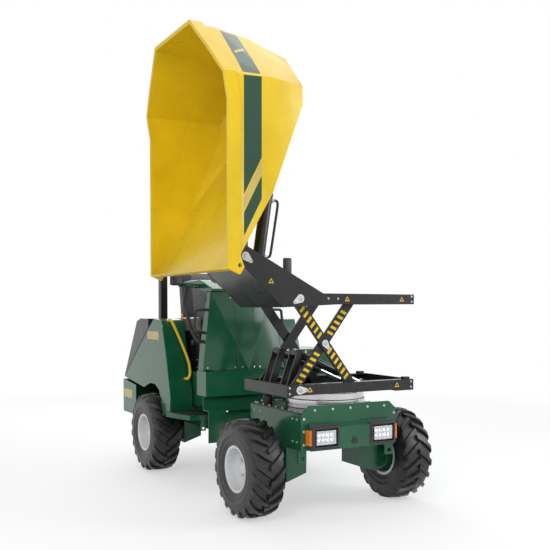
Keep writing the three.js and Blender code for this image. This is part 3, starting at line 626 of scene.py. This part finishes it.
# ---- Front frame ----
def front():
    soften("front_chassis", "green", 0.003)
    soften("front_plate", "green", 0.003, 3)
    soften("deck_plate", "black", 0.002)
    face = -1299.8
    for side, w in (("right", -1), ("left", 1)):
        x = w * 245

        def shell(bm, x=x):
            # A frame round a deep reflector bowl.
            m = frame_on(at(x, -1335, 599), (0, -1, 0))
            outer = [(-92.5, -62.5), (92.5, -62.5), (92.5, 62.5), (-92.5, 62.5)]
            rings = []
            for grow, depth in ((0, 0), (0, 36), (-3, 37.5), (-12, 37.5), (-14, 34), (-26, 12), (-30, 8)):
                rings.append([bm.verts.new(m @ (Vector((u + math.copysign(grow, u),
                    v + math.copysign(grow, v), depth)) / 1000)) for u, v in outer])
            for a, b in zip(rings, rings[1:]):
                for i in range(4):
                    j = (i + 1) % 4
                    bm.faces.new((a[i], a[j], b[j], b[i]))
            bm.faces.new(rings[0][::-1])
            bm.faces.new(rings[-1])

        standing(f"headlamp_{side}_case", f"headlamp_{side}", mesh_of("case", shell), "plastic", 30, 0.0015)

        def leds(bm, x=x):
            for i in range(4):
                for j in range(2):
                    m = frame_on(at(x - 51 + 34 * i, -1344, 582 + 34 * j), (0, -1, 0))
                    spin(bm, [(0, 0), (5, 0), (7, 3), (14.5, 15), (15.5, 15), (15.5, 0), (5, -1)], m, 20)

        piece(f"headlamp_{side}_bowls", "front", mesh_of("bowls", leds), "reflector", smooth=40)

        def cores(bm, x=x):
            for i in range(4):
                for j in range(2):
                    spin(bm, [(0, 1), (5, 1), (4, 5), (0, 7)],
                        frame_on(at(x - 51 + 34 * i, -1345, 582 + 34 * j), (0, -1, 0)), 12)

        piece(f"headlamp_{side}_cores", "front", mesh_of("cores", cores), "led", smooth=40)

        def pane(bm, x=x):
            m = frame_on(at(x, -1366, 599), (0, -1, 0))
            prism(bm, [(-80, -49), (80, -49), (80, 49), (-80, 49)], m, 3.5)

        piece(f"headlamp_{side}_pane", "front", mesh_of("pane", pane), "lamp", smooth=30, bevel=0.0015)
        out = w * 351

        def marker(bm, out=out, w=w):
            m = frame_on(at(out, -1330, 600), (w, 0, 0))
            prism(bm, [(-28, -54), (28, -54), (28, 54), (-28, 54)], m, 26)

        piece(f"indicator_{side}", "front", mesh_of("marker", marker), "amber", smooth=30, bevel=0.004,
            segments=3)
        piece(f"indicator_base_{side}", "front",
            slab("base", [(-30, -60), (30, -60), (30, 60), (-30, 60)],
            frame_on(at(out - w, -1330, 600), (w, 0, 0)), 4), "plastic", bevel=0.001)

    row = [at(x, face, z) for x in (-388, 388) for z in (548, 640, 728)] + [at(x, face, 786)
        for x in range(-300, 301, 150)]
    bolts("front_plate_bolts", "front", row, (0, -1, 0), 16, 8)
    edge = [at(x, y, DECK_TOP) for y in (-1262, -556) for x in range(-380, 381, 95)]
    edge += [at(s * 388, y, DECK_TOP) for s in (-1, 1) for y in range(-1190, -600, 98)]
    bolts("deck_bolts", "front", edge, (0, 0, 1), 15, 8)
    for side, w in (("right", -1), ("left", 1)):
        heads = [at(w * 411, y, z) for y in (-1240, -1180, -700, -600) for z in (560, 720)]
        bolts(f"frame_bolts_{side}", "front", heads, (w, 0, 0), 15, 7)
    piece("centre_plug", "front", lathe("plug", [(0, 0), (26, 0), (26, 4), (16, 6), (14, 3), (0, 3)],
        frame_on(at(0, -1360, 563), (0, -1, 0)), 32), "rubber", smooth=30)

    def ring(bm, r, bore, z0, z1, groove):
        m = Matrix.Translation(at(0, FRONT, 0))
        mid = (z0 + z1) / 2
        c = 3
        outer = [(r - c, z0), (r, z0 + c)]
        if groove:
            outer += [(r, mid - 8), (r - 8, mid - 4), (r - 8, mid + 4), (r, mid + 8)]
        outer += [(r, z1 - c), (r - c, z1)]
        spin(bm, [(bore, z0)] + outer + [(bore, z1), (bore, z0)], m, 96)

    standing("slew_ring_lower_race", "slew_ring_lower",
        mesh_of("race", lambda bm: ring(bm, 300, 215, 772.3, 838, True)), "steel")
    standing("slew_ring_upper_race", "slew_ring_upper",
        mesh_of("race", lambda bm: ring(bm, 292, 225, 838.6, 886, False)), "steel")

    def motor(bm):
        m = Matrix.Translation(at(-345, -690, 772.3))
        spin(bm, [(0, 0), (42, 0), (42, 14), (34, 16), (34, 22), (40, 24), (40, 64), (36, 70), (18, 72),
            (18, 84), (14, 89), (0, 89)], m, 40)

    standing("slew_motor_case", "slew_motor", mesh_of("case", motor), "black")
    ports = mesh_of("ports", lambda bm: [spin(bm, [(0, 0), (9, 0), (9, 14), (6, 16), (0, 16)],
        frame_on(at(-345 + s * 36, -690, 812 + 12 * s), (s, 0, 0)), 16) for s in (-1, 1)])
    piece("slew_motor_ports", "front", ports, "bolt", smooth=30)

    # Hoses lie along the deck between the ring and the steering joint.
    for i, x in enumerate((-120, -70, 70, 120)):
        route = [(x, -640, 800), (x, -600, 792), (x, -540, 786), (x * 0.8, -500, 720),
            (x * 0.55, -440, 668), (x * 0.4, -330, 660)]
        sweep(f"deck_hose_{i}", "front", route, 9, "rubber")
    pin = lathe("cap", rounded(44, 720.5, 738, 3), Matrix.Translation(at(0, -250, 0)), 40)
    piece("steer_pin_cap", "front", pin, "bolt", smooth=30)


# ---- Turntable and scissor ----
def plane_mark(bm, outline, y, way, depth=0.8):
    """A thin mark on an upright face; the outline is (x, z) in mm."""
    m = Matrix.Translation(at(0, y, 0)) @ Matrix(((1, 0, 0, 0), (0, 0, way, 0), (0, 1, 0, 0), (0, 0, 0, 1)))
    prism(bm, outline, m, depth)


def scissor():
    soften("base_frame", "black", 0.0025)
    soften("scissor_arms_inner", "black", 0.002)
    soften("scissor_arms_outer", "black", 0.002)
    soften("upper_frame", "black", 0.0025)
    low, high, roll_low, roll_high = (-412, 932), (-412, 1570), (76, 932), (76, 1570)

    def dashes(name, body, p, q, face, start, stop):
        # Short yellow bars lie slantwise down the outer face of an arm.
        way = Vector((q[0] - p[0], q[1] - p[1])).normalized()
        side = Vector((-way.y, way.x))
        length = math.dist(p, q)
        for s in (-1, 1):
            def build(bm, s=s):
                d = start
                while d < length - stop:
                    if abs(d - length / 2) > 62:
                        c = Vector(p) + way * d
                        quad = [c - side * 24 - way * 5, c - side * 24 + way * 15, c + side * 24 + way * 5,
                            c + side * 24 - way * 15]
                        plane_mark(bm, [tuple(v) for v in quad], FRONT + s * face, s)
                    d += 47
            piece(f"{name}_{'near' if s < 0 else 'far'}", body, mesh_of(name, build), "yellow")

    dashes("dash_marks_outer", "arm_b", high, roll_low, 263, 92, 70)
    dashes("dash_marks_inner", "arm_a", low, roll_high, 245.2, 70, 92)

    def pin_plate(name, body, p, angle, face, r=30, reach=52):
        for s in (-1, 1):
            def build(bm, s=s):
                pts = [(p[0] + r * math.cos(a), p[1] + r * math.sin(a))
                    for a in [angle + math.radians(90 + 180 * i / 14) for i in range(15)]]
                tip = (p[0] + reach * math.cos(angle), p[1] + reach * math.sin(angle))
                pts += [(tip[0] + 12 * math.cos(angle + t), tip[1] + 12 * math.sin(angle + t))
                    for t in (-1.2, -0.6, 0, 0.6, 1.2)]
                plane_mark(bm, pts, FRONT + s * face, s, 6)
            piece(f"{name}_{'near' if s < 0 else 'far'}", body, mesh_of(name, build), "silver",
                smooth=30, bevel=0.0012)
            cap = lathe("cap", [(0, 0), (15, 0), (15, 3), (12, 5), (0, 5)],
                frame_on(at(p[0], FRONT + s * (face + 6), p[1]), (0, s, 0)), 24)
            piece(f"{name}_cap_{'near' if s < 0 else 'far'}", body, cap, "bolt", smooth=30)
            bolts(f"{name}_bolt_{'near' if s < 0 else 'far'}", body,
                [at(p[0] + reach * math.cos(angle), FRONT + s * (face + 6),
                p[1] + reach * math.sin(angle))], (0, s, 0), 12, 6)

    pin_plate("pin_low", "turntable", low, math.radians(0), 327)
    pin_plate("pin_high", "upper", high, math.radians(-150), 327)
    pin_plate("pin_tip", "upper", (-835, 1850), math.radians(-40), 327)
    pin_plate("pin_cross", "arm_a", (-168, 1251), math.radians(-52), 266, 26, 44)

    # Blank hazard triangles on the channels.
    def sign(name, body, x, z, s):
        pts = [(x - 21, z - 17), (x + 21, z - 17), (x, z + 19)]
        small = [(x - 11, z - 11), (x + 11, z - 11), (x, z + 8)]
        y = FRONT + s * 327
        piece(name, body, mesh_of(name, lambda bm: plane_mark(bm, pts, y, s, 0.7)), "yellow")
        piece(name + "_inner", body, mesh_of(name, lambda bm: plane_mark(bm, small, y + s * 0.7, s, 0.4)),
            "black")

    for s in (-1, 1):
        tag = "near" if s < 0 else "far"
        sign(f"sign_low_a_{tag}", "turntable", -330, 932, s)
        sign(f"sign_low_b_{tag}", "turntable", 430, 932, s)
        sign(f"sign_high_a_{tag}", "upper", -20, 1570, s)
        sign(f"sign_high_b_{tag}", "upper", 470, 1570, s)
        sign(f"sign_neck_{tag}", "upper", -640, 1690, s)
    for s, tag in ((-1, "near"), (1, "far")):
        heads = [at(x, FRONT + s * BEAM_FACE, z) for x in (560, -495) for z in (910, 950)]
        bolts(f"channel_bolts_{tag}", "turntable", heads, (0, s, 0), 13, 6)
    spots = ((560, 1550), (560, 1590), (-100, 1570), (-180, 1572))
    bolts("upper_bolts_near", "upper", [at(x, FRONT - BEAM_FACE, z) for x, z in spots], (0, -1, 0), 13, 6)
    bolts("end_bolts", "turntable", [at(585, FRONT + y, 932) for y in (-250, -120, 0, 120, 250)], (1, 0, 0),
        14, 7)
    bolts("ring_bolts", "turntable",
        [at(190 * math.cos(a), FRONT + 190 * math.sin(a), 896)
        for a in [math.pi * i / 9 for i in range(18)]], (0, 0, 1), 16, 9)


# ---- Rams ----
def ram(names, p, q, y, size, material):
    a, b = Vector((p[0], FRONT + y, p[1])), Vector((q[0], FRONT + y, q[1]))
    length = (b - a).length
    way = (b - a).normalized()
    m = frame_on(at(*a), way, (0, 1, 0))
    R, L, r = size["barrel"], size["length"], size["rod"]

    def barrel(bm):
        tube = [(0, 22), (R - 6, 24), (R, 32), (R, L - 34), (R + 3, L - 32), (R + 3, L - 8), (R - 1, L - 2),
            (R - 4, L), (r + 1.5, L)]
        spin(bm, tube + [(r + 1.2, 46), (0, 46)], m, 48)
        eye = frame_on(at(a.x, a.y - size["eye_w"], a.z), (0, 1, 0))
        e, hole, w = size["eye"], size["pin"] + 0.8, 2 * size["eye_w"]
        spin(bm, [(hole, 0), (e - 2, 0), (e, 2), (e, w - 2), (e - 2, w), (hole, w), (hole, 0)], eye, 40)

    standing(names[0] + "_tube", names[0], mesh_of(names[0], barrel), material, 32)

    def rod(bm):
        spin(bm, [(0, size["start"]), (r, size["start"] + 1), (r, length - size["rod_eye"] + 4),
            (0, length - size["rod_eye"] + 4)], m, 40)

    def end(bm):
        eye = frame_on(at(b.x, b.y - size["rod_w"], b.z), (0, 1, 0))
        e, hole, w = size["rod_eye"], size["rod_hole"], 2 * size["rod_w"]
        spin(bm, [(hole, 0), (e - 2, 0), (e, 2), (e, w - 2), (e - 2, w), (hole, w), (hole, 0)], eye, 40)

    standing(names[1] + "_shaft", names[1], mesh_of(names[1], rod), "chrome", 32)
    piece(names[1] + "_eye", BODY[names[1]], mesh_of("eye", end), material, smooth=32)

    def fittings(bm):
        for s in (70, L - 60):
            k = m @ Matrix.Translation(Vector((0, 0, s / 1000)))
            up = k.to_3x3() @ Vector((1, 0, 0))
            if up.z < 0 and abs(up.z) > 0.2:
                up = -up
            f = frame_on(k.translation + up * (R - 2) / 1000, up)
            spin(bm, [(0, 0), (10, 0), (10, 8), (7, 10), (7, 18), (0, 18)], f, 16)

    piece(names[0] + "_ports", BODY[names[0]], mesh_of("ports", fittings), "bolt", smooth=30)


def rams():
    lift = dict(barrel=30, length=390, rod=16, start=214, eye=30, eye_w=35.5, pin=15, rod_eye=33,
        rod_w=19.5, rod_hole=25.5)
    for end, s in (("front", -1), ("rear", 1)):
        names = (f"lift_barrel_{end}", f"lift_rod_{end}")
        ram(names, (-325, 1180), (250, 935), s * 130, lift, "black")
    tip = dict(barrel=45, length=700, rod=22, start=444, eye=28, eye_w=35.5, pin=18, rod_eye=32, rod_w=23.5,
        rod_hole=19.5)
    ram(("tip_barrel", "tip_rod"), (-600, 1645), (-430, 2790), 0, tip, "black")
    u = Vector((170, 1145)).normalized()
    spot = lambda s, out: (-600 + u.x * s + u.y * out, FRONT, 1645 + u.y * s - u.x * out)
    route = [spot(655, 44), spot(655, 70), spot(655, 92), spot(630, 101), spot(560, 100), spot(400, 97),
        spot(290, 95), spot(246, 92), spot(240, 70), spot(240, 44)]
    hose = sweep("tip_hose_line", "tip_barrel", route, 9.5, "rubber", 6, 8)
    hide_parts("tip_hose")
    collars = mesh_of("collars", lambda bm: [spin(bm,
        [(0, 0), (14, 0), (14, 12), (11, 14), (11, 24), (0, 24)],
        frame_on(at(*spot(s, 43)), Vector((u.y, 0, -u.x))), 18) for s in (655, 240)])
    piece("tip_hose_collars", "tip_barrel", collars, "bolt", smooth=30)


# ---- Skip ----
def skip():
    soften("skip", "yellow", 0.0035, 3, 26)
    skin = Skin("skip")

    def on_skin(outline, direction, name, material, lift=0.9, n=14, m=8):
        """A thin sheet laid on the skip: outline is four corners in mm, cast along the direction."""
        a, b, c, d = [Vector(v) for v in outline]
        way = Vector(direction).normalized()

        def build(bm):
            rows = []
            for i in range(n + 1):
                row = []
                for j in range(m + 1):
                    s, t = i / n, j / m
                    p = (a * (1 - s) + d * s) * (1 - t) + (b * (1 - s) + c * s) * t
                    spot, normal = skin.hit(p, way)
                    row.append(bm.verts.new(spot + normal * lift / 1000))
                rows.append(row)
            for i in range(n):
                for j in range(m):
                    bm.faces.new((rows[i][j], rows[i][j + 1], rows[i + 1][j + 1], rows[i + 1][j]))

        return piece(name, "skip", mesh_of(name, build), material)

    for s in (-1, 1):
        tag = "near" if s < 0 else "far"
        y = FRONT + s * 670
        into = (0, -s, 0)
        on_skin([(-1018, y, 2932), (-895, y, 2938), (-895, y, 2440), (-1018, y, 2205)], into,
            f"decal_side_{tag}", "decal_green")
        on_skin([(-1018, y, 2180), (-895, y, 2415), (-895, y, 2345), (-1018, y, 2110)], into,
            f"decal_tan_{tag}", "decal_tan", n=4)
        on_skin([(-1018, y, 2092), (-895, y, 2327), (-895, y, 2185), (-1018, y, 1950)], into,
            f"decal_tail_{tag}", "decal_green", n=5)
        lean = (0, -s * 0.72, -0.69)
        top = FRONT + s * 322
        edge = FRONT + s * 655
        on_skin([(-1018, edge, 2953), (-895, edge, 2957), (-895, top, 3290), (-1018, top, 3303)], lean,
            f"decal_upper_{tag}", "decal_green")
        point = lambda x, t: (x, edge + (top - edge) * t, 2955 + (3296 - 2955) * t)
        on_skin([point(-1000, 0.5), point(-912, 0.62), point(-912, 0.56), point(-1000, 0.44)], lean,
            f"decal_flash_{tag}", "decal_tan", lift=1.4, n=3, m=3)
        bolts(f"tab_bolt_{tag}", "skip", [at(-1078, FRONT + s * 678, 1795)], (0, s, 0), 16, 7)

    # Weld beads join the ribs to the floor.
    for i, y in enumerate((-252.5, -207.5, 207.5, 252.5)):
        for k in (-8, 8):
            line = ((-1060, 1806), (-900, 2083), (-700, 2427), (-516, 2745))
            route = [(x, FRONT + y + k, z) for x, z in line]
            sweep(f"rib_weld_{i}_{'a' if k < 0 else 'b'}", "skip", route, 3, "yellow", 3, 2)


# ---- Rear body ----
TAIL_PROUD = 18.5


def yz_plate(bm, outline, x, way, depth):
    """A flat plate on a side face; the outline is (y, z) in mm."""
    m = Matrix.Translation(at(x, 0, 0)) @ Matrix(((0, 0, way, 0), (1, 0, 0, 0), (0, 1, 0, 0), (0, 0, 0, 1)))
    prism(bm, outline, m, depth)


def frame_parts():
    soften("rear_chassis", "green", 0.003)
    soften("battery_block", "black", 0.006)
    soften("floor_box", "green", 0.004, 3)
    soften("apron", "green", 0.002)
    panel = soften("tail_panel", "green", 0.006, 3)
    # The lamps, plate and bolt heads reach the part's rearmost plane, so the sheet stands behind it.
    back = at(0, 1700, 0).y
    for v in panel.data.vertices:
        if v.co.y > back:
            v.co.y -= TAIL_PROUD / 1000
    soften("rops_frame", "black", 0.009, 4)
    soften("left_cabinet", "green", 0.006, 3)
    feet = [at(s * 440 + d, 1285 + e, 647) for s in (-1, 1) for d in (-48, 48) for e in (-30, 30)]
    bolts("rops_bolts", "rear", feet, (0, 0, 1), 16, 8)


def amber_marker():
    m = frame_on(at(-465.2, 300, 820), (-1, 0, 0))
    base = slab("base", [(-22, -54), (22, -54), (22, 54), (-22, 54)], m, 5)
    piece("side_marker_base", "rear", base, "plastic", bevel=0.002)
    raised = m @ Matrix.Translation((0, 0, 0.005))
    top = slab("lens", [(-17, -48), (17, -48), (17, 48), (-17, 48)], raised, 11)
    piece("side_marker_lens", "rear", top, "amber", bevel=0.005, segments=4, smooth=40)


def cowl():
    soften("cowl", "green", 0.007, 3)
    skin = Skin("cowl")
    # Seams of the three cover panels run up the sloping front.
    for i, x in enumerate((-300, -130)):
        route = [[(c - s) * 1000 for c, s in zip(skin.hit((x, 0, z), (0, 1, 0))[0], SHIFT)]
            for z in (1000, 1200, 1420, 1625)]
        sweep(f"cowl_seam_{i}", "rear", route, 2.6, "plastic", 3, 2)
    spots = [skin.hit((x, 0, z), (0, 1, 0)) for x in (-560, -330, -270, -160, -100, 130)
        for z in (1010, 1590) if abs(x + 215) < 350 - 0.15 * (z - 985)]
    for i, (spot, normal) in enumerate(spots):
        bolts(f"cowl_screw_{i}", "rear", [spot], normal, 11, 4)
    for side, s in (("right", -1), ("left", 1)):
        node = f"hand_loop_{side}"
        reach = lambda d: -215 + s * d
        route = [(reach(309), 55, 1490), (reach(360), 55, 1490), (reach(399), 55, 1488),
            (reach(408), 55, 1474), (reach(414), 55, 1400), (reach(420), 55, 1318), (reach(412), 55, 1301),
            (reach(385), 55, 1300), (reach(338), 55, 1300)]
        o = sweep(node + "_bar", "rear", route, 12, "rubber", 8, 10)
        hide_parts(node)


def conduit():
    route = [(-640, 258, 1695), (-640, 215, 1695), (-648, 172, 1668), (-686, 138, 1560), (-664, 108, 1405),
        (-648, 88, 1325), (-612, 52, 1232), (-592, 50, 1225), (-567, 50, 1225)]
    o = sweep("conduit_hose", "rear", route, 14.5, "rubber", 8, 10)
    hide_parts("conduit")
    # Ribs of the corrugated sleeve.
    points = [Vector(p) for p in route]

    def ribs(bm):
        for a, b in zip(points, points[1:]):
            n = max(1, int((b - a).length / 9))
            for i in range(n):
                p = a.lerp(b, (i + 0.5) / n)
                m = frame_on(at(*p), b - a)
                spin(bm, [(12, -2.6), (15.6, -2.6), (16.6, 0), (15.6, 2.6), (12, 2.6), (12, -2.6)], m, 18)

    piece("conduit_ribs", "rear", mesh_of("ribs", ribs), "rubber", smooth=40)


def mirror(side, x0, x1, z0, z1):
    """A convex mirror: a rounded black shell, its glass towards the driver and a green arm."""
    node = f"mirror_{side}"
    y = 243

    def outline(pad, k=7):
        r = 16 - pad * 0.5
        pts = []
        for cx, cz, a0 in ((x1 - pad - r, z1 - pad - r, 0), (x0 + pad + r, z1 - pad - r, 90),
                (x0 + pad + r, z0 + pad + r, 180), (x1 - pad - r, z0 + pad + r, 270)):
            pts += [(cx + r * math.cos(math.radians(a0 + 90 * i / k)),
                cz + r * math.sin(math.radians(a0 + 90 * i / k))) for i in range(k + 1)]
        return pts

    def shell(bm):
        rings = []
        for pad, d in ((14, 0), (5, 4), (1, 12), (0, 22), (0, 32), (3, 34), (5, 34), (6, 31)):
            rings.append([bm.verts.new(at(px, y + d, pz)) for px, pz in outline(pad)])
        for a, b in zip(rings, rings[1:]):
            for i in range(len(a)):
                j = (i + 1) % len(a)
                bm.faces.new((a[i], a[j], b[j], b[i]))
        bm.faces.new(rings[0][::-1])
        bm.faces.new(rings[-1])

    standing(node + "_shell", node, mesh_of("shell", shell), "plastic", 40)
    glass = mesh_of("glass", lambda bm: plane_mark(bm, outline(7), y + 31.2, 1, 2))
    piece(node + "_glass", "rear", glass, "mirror", smooth=30)
    if side == "right":
        arm = [(-497.3, 1671), (-497.3, 1707), (-560, 1716), (-690, 1722), (-690, 1684), (-600, 1680)]
    else:
        arm = [(67.3, 1751), (67.3, 1793), (200, 1793), (340, 1793), (340, 1752), (200, 1752)]
    piece(node + "_arm", "rear", mesh_of("arm", lambda bm: plane_mark(bm, arm, 263, 1, 10)), "green",
        smooth=30, bevel=0.002)
    spots = (-515, -545) if side == "right" else (85, 115)
    heads = [at(x, 262, (arm[0][1] + arm[1][1]) / 2) for x in spots]
    bolts(node + "_bolts", "rear", heads, (0, -1, 0), 11, 5)


def controls():
    soften("dash_console", "green", 0.006, 3)
    m = Matrix.Translation(at(-215, 350, 1610)) @ Matrix.Rotation(-0.6, 4, "X")

    def wheel_rim(bm):
        r, t, n, k = 166, 13.6, 72, 16
        rings = []
        for i in range(n):
            a = 2 * math.pi * i / n
            grip = t - 0.8 - 0.6 * math.cos(a * 36)
            ring = []
            for j in range(k):
                b = 2 * math.pi * j / k
                d = r + grip * math.cos(b)
                ring.append(bm.verts.new(m @ (Vector((d * math.cos(a), d * math.sin(a),
                    grip * math.sin(b))) / 1000)))
            rings.append(ring)
        for i in range(n):
            a, b = rings[i], rings[(i + 1) % n]
            for j in range(k):
                q = (j + 1) % k
                bm.faces.new((a[j], a[q], b[q], b[j]))

    standing("steering_rim", "steering_wheel", mesh_of("rim", wheel_rim), "plastic", 60)

    def spokes(bm):
        for a in (0, 120, 240):
            turn = m @ Matrix.Rotation(math.radians(a + 90), 4, "Z")
            prism(bm, [(26, -15), (150, -10), (158, -10), (158, 10), (150, 10), (26, 15)],
                turn @ Matrix.Translation((0, 0, -0.005)), 8)
        spin(bm, [(0, -9), (40, -9), (46, -3), (46, 6), (40, 11), (24, 13), (0, 13)], m, 40)

    piece("steering_spokes", "rear", mesh_of("spokes", spokes), "plastic", smooth=40, bevel=0.002)
    low, high = at(-215, 152, 1322), at(-215, 350, 1610)
    shaft = frame_on(low, high - low)
    long = (high - low).length * 1000
    column = [(0, 0), (22, 0), (22, long * 0.6), (28, long * 0.62), (28, long * 0.66), (22, long * 0.68),
        (19, long - 12), (0, long - 12)]
    piece("steering_column", "rear", lathe("column", column, shaft, 32), "plastic", smooth=35)
    post = block("post", -274, -156, 101, 199, 940.6, 1339)
    piece("steering_post", "rear", post, "plastic", smooth=30, bevel=0.01, segments=3)
    mirror("right", -763, -683, 1694, 1890)
    mirror("left", 333, 413, 1764, 1960)


def padded(node, inset, cap, material, seams):
    """A stuffed pad: the node's shape, slightly smaller, blown up as cloth and held near where it started."""
    source = frame["nodes"][node]
    bm = bmesh.new()
    bm.from_mesh(source.data)
    bm.transform(source.matrix_world)
    mesh = bpy.data.meshes.new(node + "_pad")
    size = [max(v.co[i] for v in bm.verts) - min(v.co[i] for v in bm.verts) for i in range(3)]
    middle = [(max(v.co[i] for v in bm.verts) + min(v.co[i] for v in bm.verts)) / 2 for i in range(3)]
    for v in bm.verts:
        v.co = Vector([middle[i] + (v.co[i] - middle[i]) * (1 - 0.002 * inset / size[i]) for i in range(3)])
    bm.to_mesh(mesh)
    bm.free()
    o = bpy.data.objects.new(node + "_pad", mesh)
    bpy.context.scene.collection.objects.link(o)
    bpy.context.view_layer.objects.active = o
    mesh.remesh_voxel_size = 0.007
    with bpy.context.temp_override(active_object=o, object=o, selected_objects=[o]):
        bpy.ops.object.voxel_remesh()
    start = [v.co.copy() for v in o.data.vertices]
    blow = o.modifiers.new("cloth", "CLOTH")
    s = blow.settings
    s.use_pressure = True
    s.uniform_pressure_force = 4
    s.effector_weights.gravity = 0
    s.quality = 4
    s.mass = 0.3
    scene = bpy.context.scene
    for f in range(1, 21):
        scene.frame_set(f)
    shape = o.evaluated_get(bpy.context.evaluated_depsgraph_get()).to_mesh()
    ends = [v.co.copy() for v in shape.vertices]
    o.modifiers.clear()
    for v, a, b in zip(o.data.vertices, start, ends):
        move = b - a
        v.co = a + (move.normalized() * min(move.length, cap) if move.length > 1e-9 else Vector())
    scene.frame_set(1)
    # Sewn channels press in along the seam lines, which run up and across the face.
    for v in o.data.vertices:
        x = (v.co.x - SHIFT.x) * 1000
        along = ((v.co.y - SHIFT.y) if node == "seat_cushion" else v.co.z) * 1000
        dip = sum(4.5 * math.exp(-((x - at_x) / 5.5) ** 2) for at_x in (-355, -75))
        dip += sum(4.0 * math.exp(-((along - row) / 5.5) ** 2) for row in seams) * (1 if -352 < x < -78
            else 0)
        near = Vector((middle[0], middle[1], middle[2]))
        way = (near - v.co)
        way.x = 0
        if way.length > 1e-6:
            v.co += way.normalized() * dip / 1000
    smooth = o.modifiers.new("smooth", "SUBSURF")
    smooth.levels = smooth.render_levels = 1
    for key in (material, "cloth_dark"):
        o.data.materials.append(MAT[key])
    for p in o.data.polygons:
        x = (p.center.x - SHIFT.x) * 1000
        p.material_index = 0 if -355 < x < -75 else 1
    o.data.shade_smooth()
    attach(o, "rear")
    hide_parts(node)
    return o


def seat():
    soften("seat_pedestal", "black", 0.012, 4)
    padded("seat_cushion", 9, 0.011, "cloth", (470, 600))
    padded("seat_back", 7, 0.010, "cloth", (1500, 1610, 1720))
    knob = [(0, 0), (26, 0), (30, 6), (30, 22), (24, 30), (0, 31)]
    piece("seat_knob", "rear", lathe("knob", knob, frame_on(at(-420, 560, 1190), (-1, 0, 0)), 28),
        "plastic", smooth=35)
    rows = [at(-420, y, z) for y in (490, 865) for z in (975, 1040, 1265)]
    bolts("seat_bolts", "rear", rows, (-1, 0, 0), 14, 6)
    buckle = block("buckle", -482, -469, 700, 728, 1388, 1452)
    piece("seat_buckle", "rear", buckle, "orange", smooth=30, bevel=0.004, segments=3)
    strap = [(-476, 714, 1300), (-478, 714, 1340), (-478, 714, 1392)]
    sweep("buckle_stalk", "rear", strap, 6, "plastic")


def fenders():
    for side, w in (("right", -1), ("left", 1)):
        soften(f"fender_{side}", "green", 0.012, 4)
        x = w * 690
        # Blank plates where the maker's marks would be.
        for name, outline, face in (
            ("plate_side", [(745, 1215), (1030, 1215), (1042, 1290), (745, 1290)], x),
            ("plate_tail", [(1460, 614), (1703, 614), (1703, 696), (1460, 696)], w * 700),
        ):
            plate = mesh_of(name, lambda bm, o=outline, f=face, w=w: yz_plate(bm, o, f, w, 0.8))
            piece(f"{name}_{side}", "rear", plate, "decal_tan")
        heads = [at(x, y, z) for y, z in ((1040, 1180), (1040, 900), (650, 1340), (600, 1080))]
        bolts(f"fender_bolts_{side}", "rear", heads, (w, 0, 0), 13, 6)
    soften("hood", "black", 0.014, 4)

    def slats(bm):
        # Louvres stand in rows on the sloping back of the hood.
        run = Vector((0, 1722 - 1337, 815.5 - 1377)).normalized()
        out = Vector((0, -run.z, run.y))
        for c in (-420, 0, 420):
            for i in range(9):
                p = Vector((c, 1337, 1377)) + run * (90 + 38 * i)
                m = Matrix.Translation(at(*(p + out * 0.2)))
                a = Matrix((Vector((1, 0, 0)), run, out)).transposed().to_4x4()
                k = m @ a
                v = [(-130, 0, 0), (130, 0, 0), (130, 24, 0), (-130, 24, 0), (-124, 3, 7), (124, 3, 7)]
                vs = [bm.verts.new(k @ (Vector(q) / 1000)) for q in v]
                for f in ((0, 3, 2, 1), (0, 1, 5, 4), (2, 3, 4, 5), (0, 4, 3), (1, 2, 5)):
                    bm.faces.new([vs[i] for i in f])

    piece("hood_louvres", "rear", mesh_of("louvres", slats), "black", smooth=25, bevel=0.001)


def tail():
    for side, w in (("right", -1), ("left", 1)):
        x = w * 560
        m = frame_on(at(x, 1747 - TAIL_PROUD, 660), (0, 1, 0))
        tray = slab("tray", [(-86, -34), (86, -34), (86, 34), (-86, 34)], m, 6)
        piece(f"tail_lamp_tray_{side}", "rear", tray, "plastic", smooth=30, bevel=0.003)
        raised = m @ Matrix.Translation((0, 0, 0.006))
        for i, (a, b, kind) in enumerate(((-80, -30, "amber"), (-26, 26, "red"), (30, 80, "lamp"))):
            cap = mesh_of("cap", lambda bm, a=a, b=b,
                k=raised: prism(bm, [(a, -28), (b, -28), (b, 28), (a, 28)], k, 12))
            piece(f"tail_lamp_{side}_{i}", "rear", cap, kind, smooth=35, bevel=0.004, segments=3)
    plate = slab("plate", [(-150, -35), (150, -35), (150, 35), (-150, 35)],
        frame_on(at(0, 1747 - TAIL_PROUD, 690), (0, 1, 0)), 3)
    piece("blank_plate_rear", "rear", plate, "orange", smooth=30, bevel=0.001)
    heads = [at(x, 1747 - TAIL_PROUD, 500) for x in (-620, -310, 0, 310, 620)]
    bolts("tail_bolts", "rear", heads, (0, 1, 0), 18, 9)


def step_and_rail():
    soften("entry_step", "green", 0.003)
    tread = slab("tread", [(-733, 432), (-696, 276), (-650, 120), (-470, 120), (-420, 138), (-420, 432)],
        Matrix.Translation(at(0, 0, 600)), 3)
    piece("step_tread", "rear", tread, "tread", smooth=30, bevel=0.001)
    route = [(-628, 668.8, 1385), (-628, 645, 1398), (-618, 612, 1396), (-560, 580, 1250),
        (-500, 500, 1035), (-506, 455, 960), (-512, 440, 915), (-528, 440, 884), (-535, 462, 879),
        (-536, 499.6, 878)]
    o = sweep("handrail_bar", "rear", route, 12.5, "yellow", 8, 10)
    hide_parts("handrail")


stage()
MAT = make_materials()
wheels()
front()
scissor()
rams()
skip()
frame_parts()
amber_marker()
cowl()
conduit()
controls()
seat()
fenders()
tail()
step_and_rail()
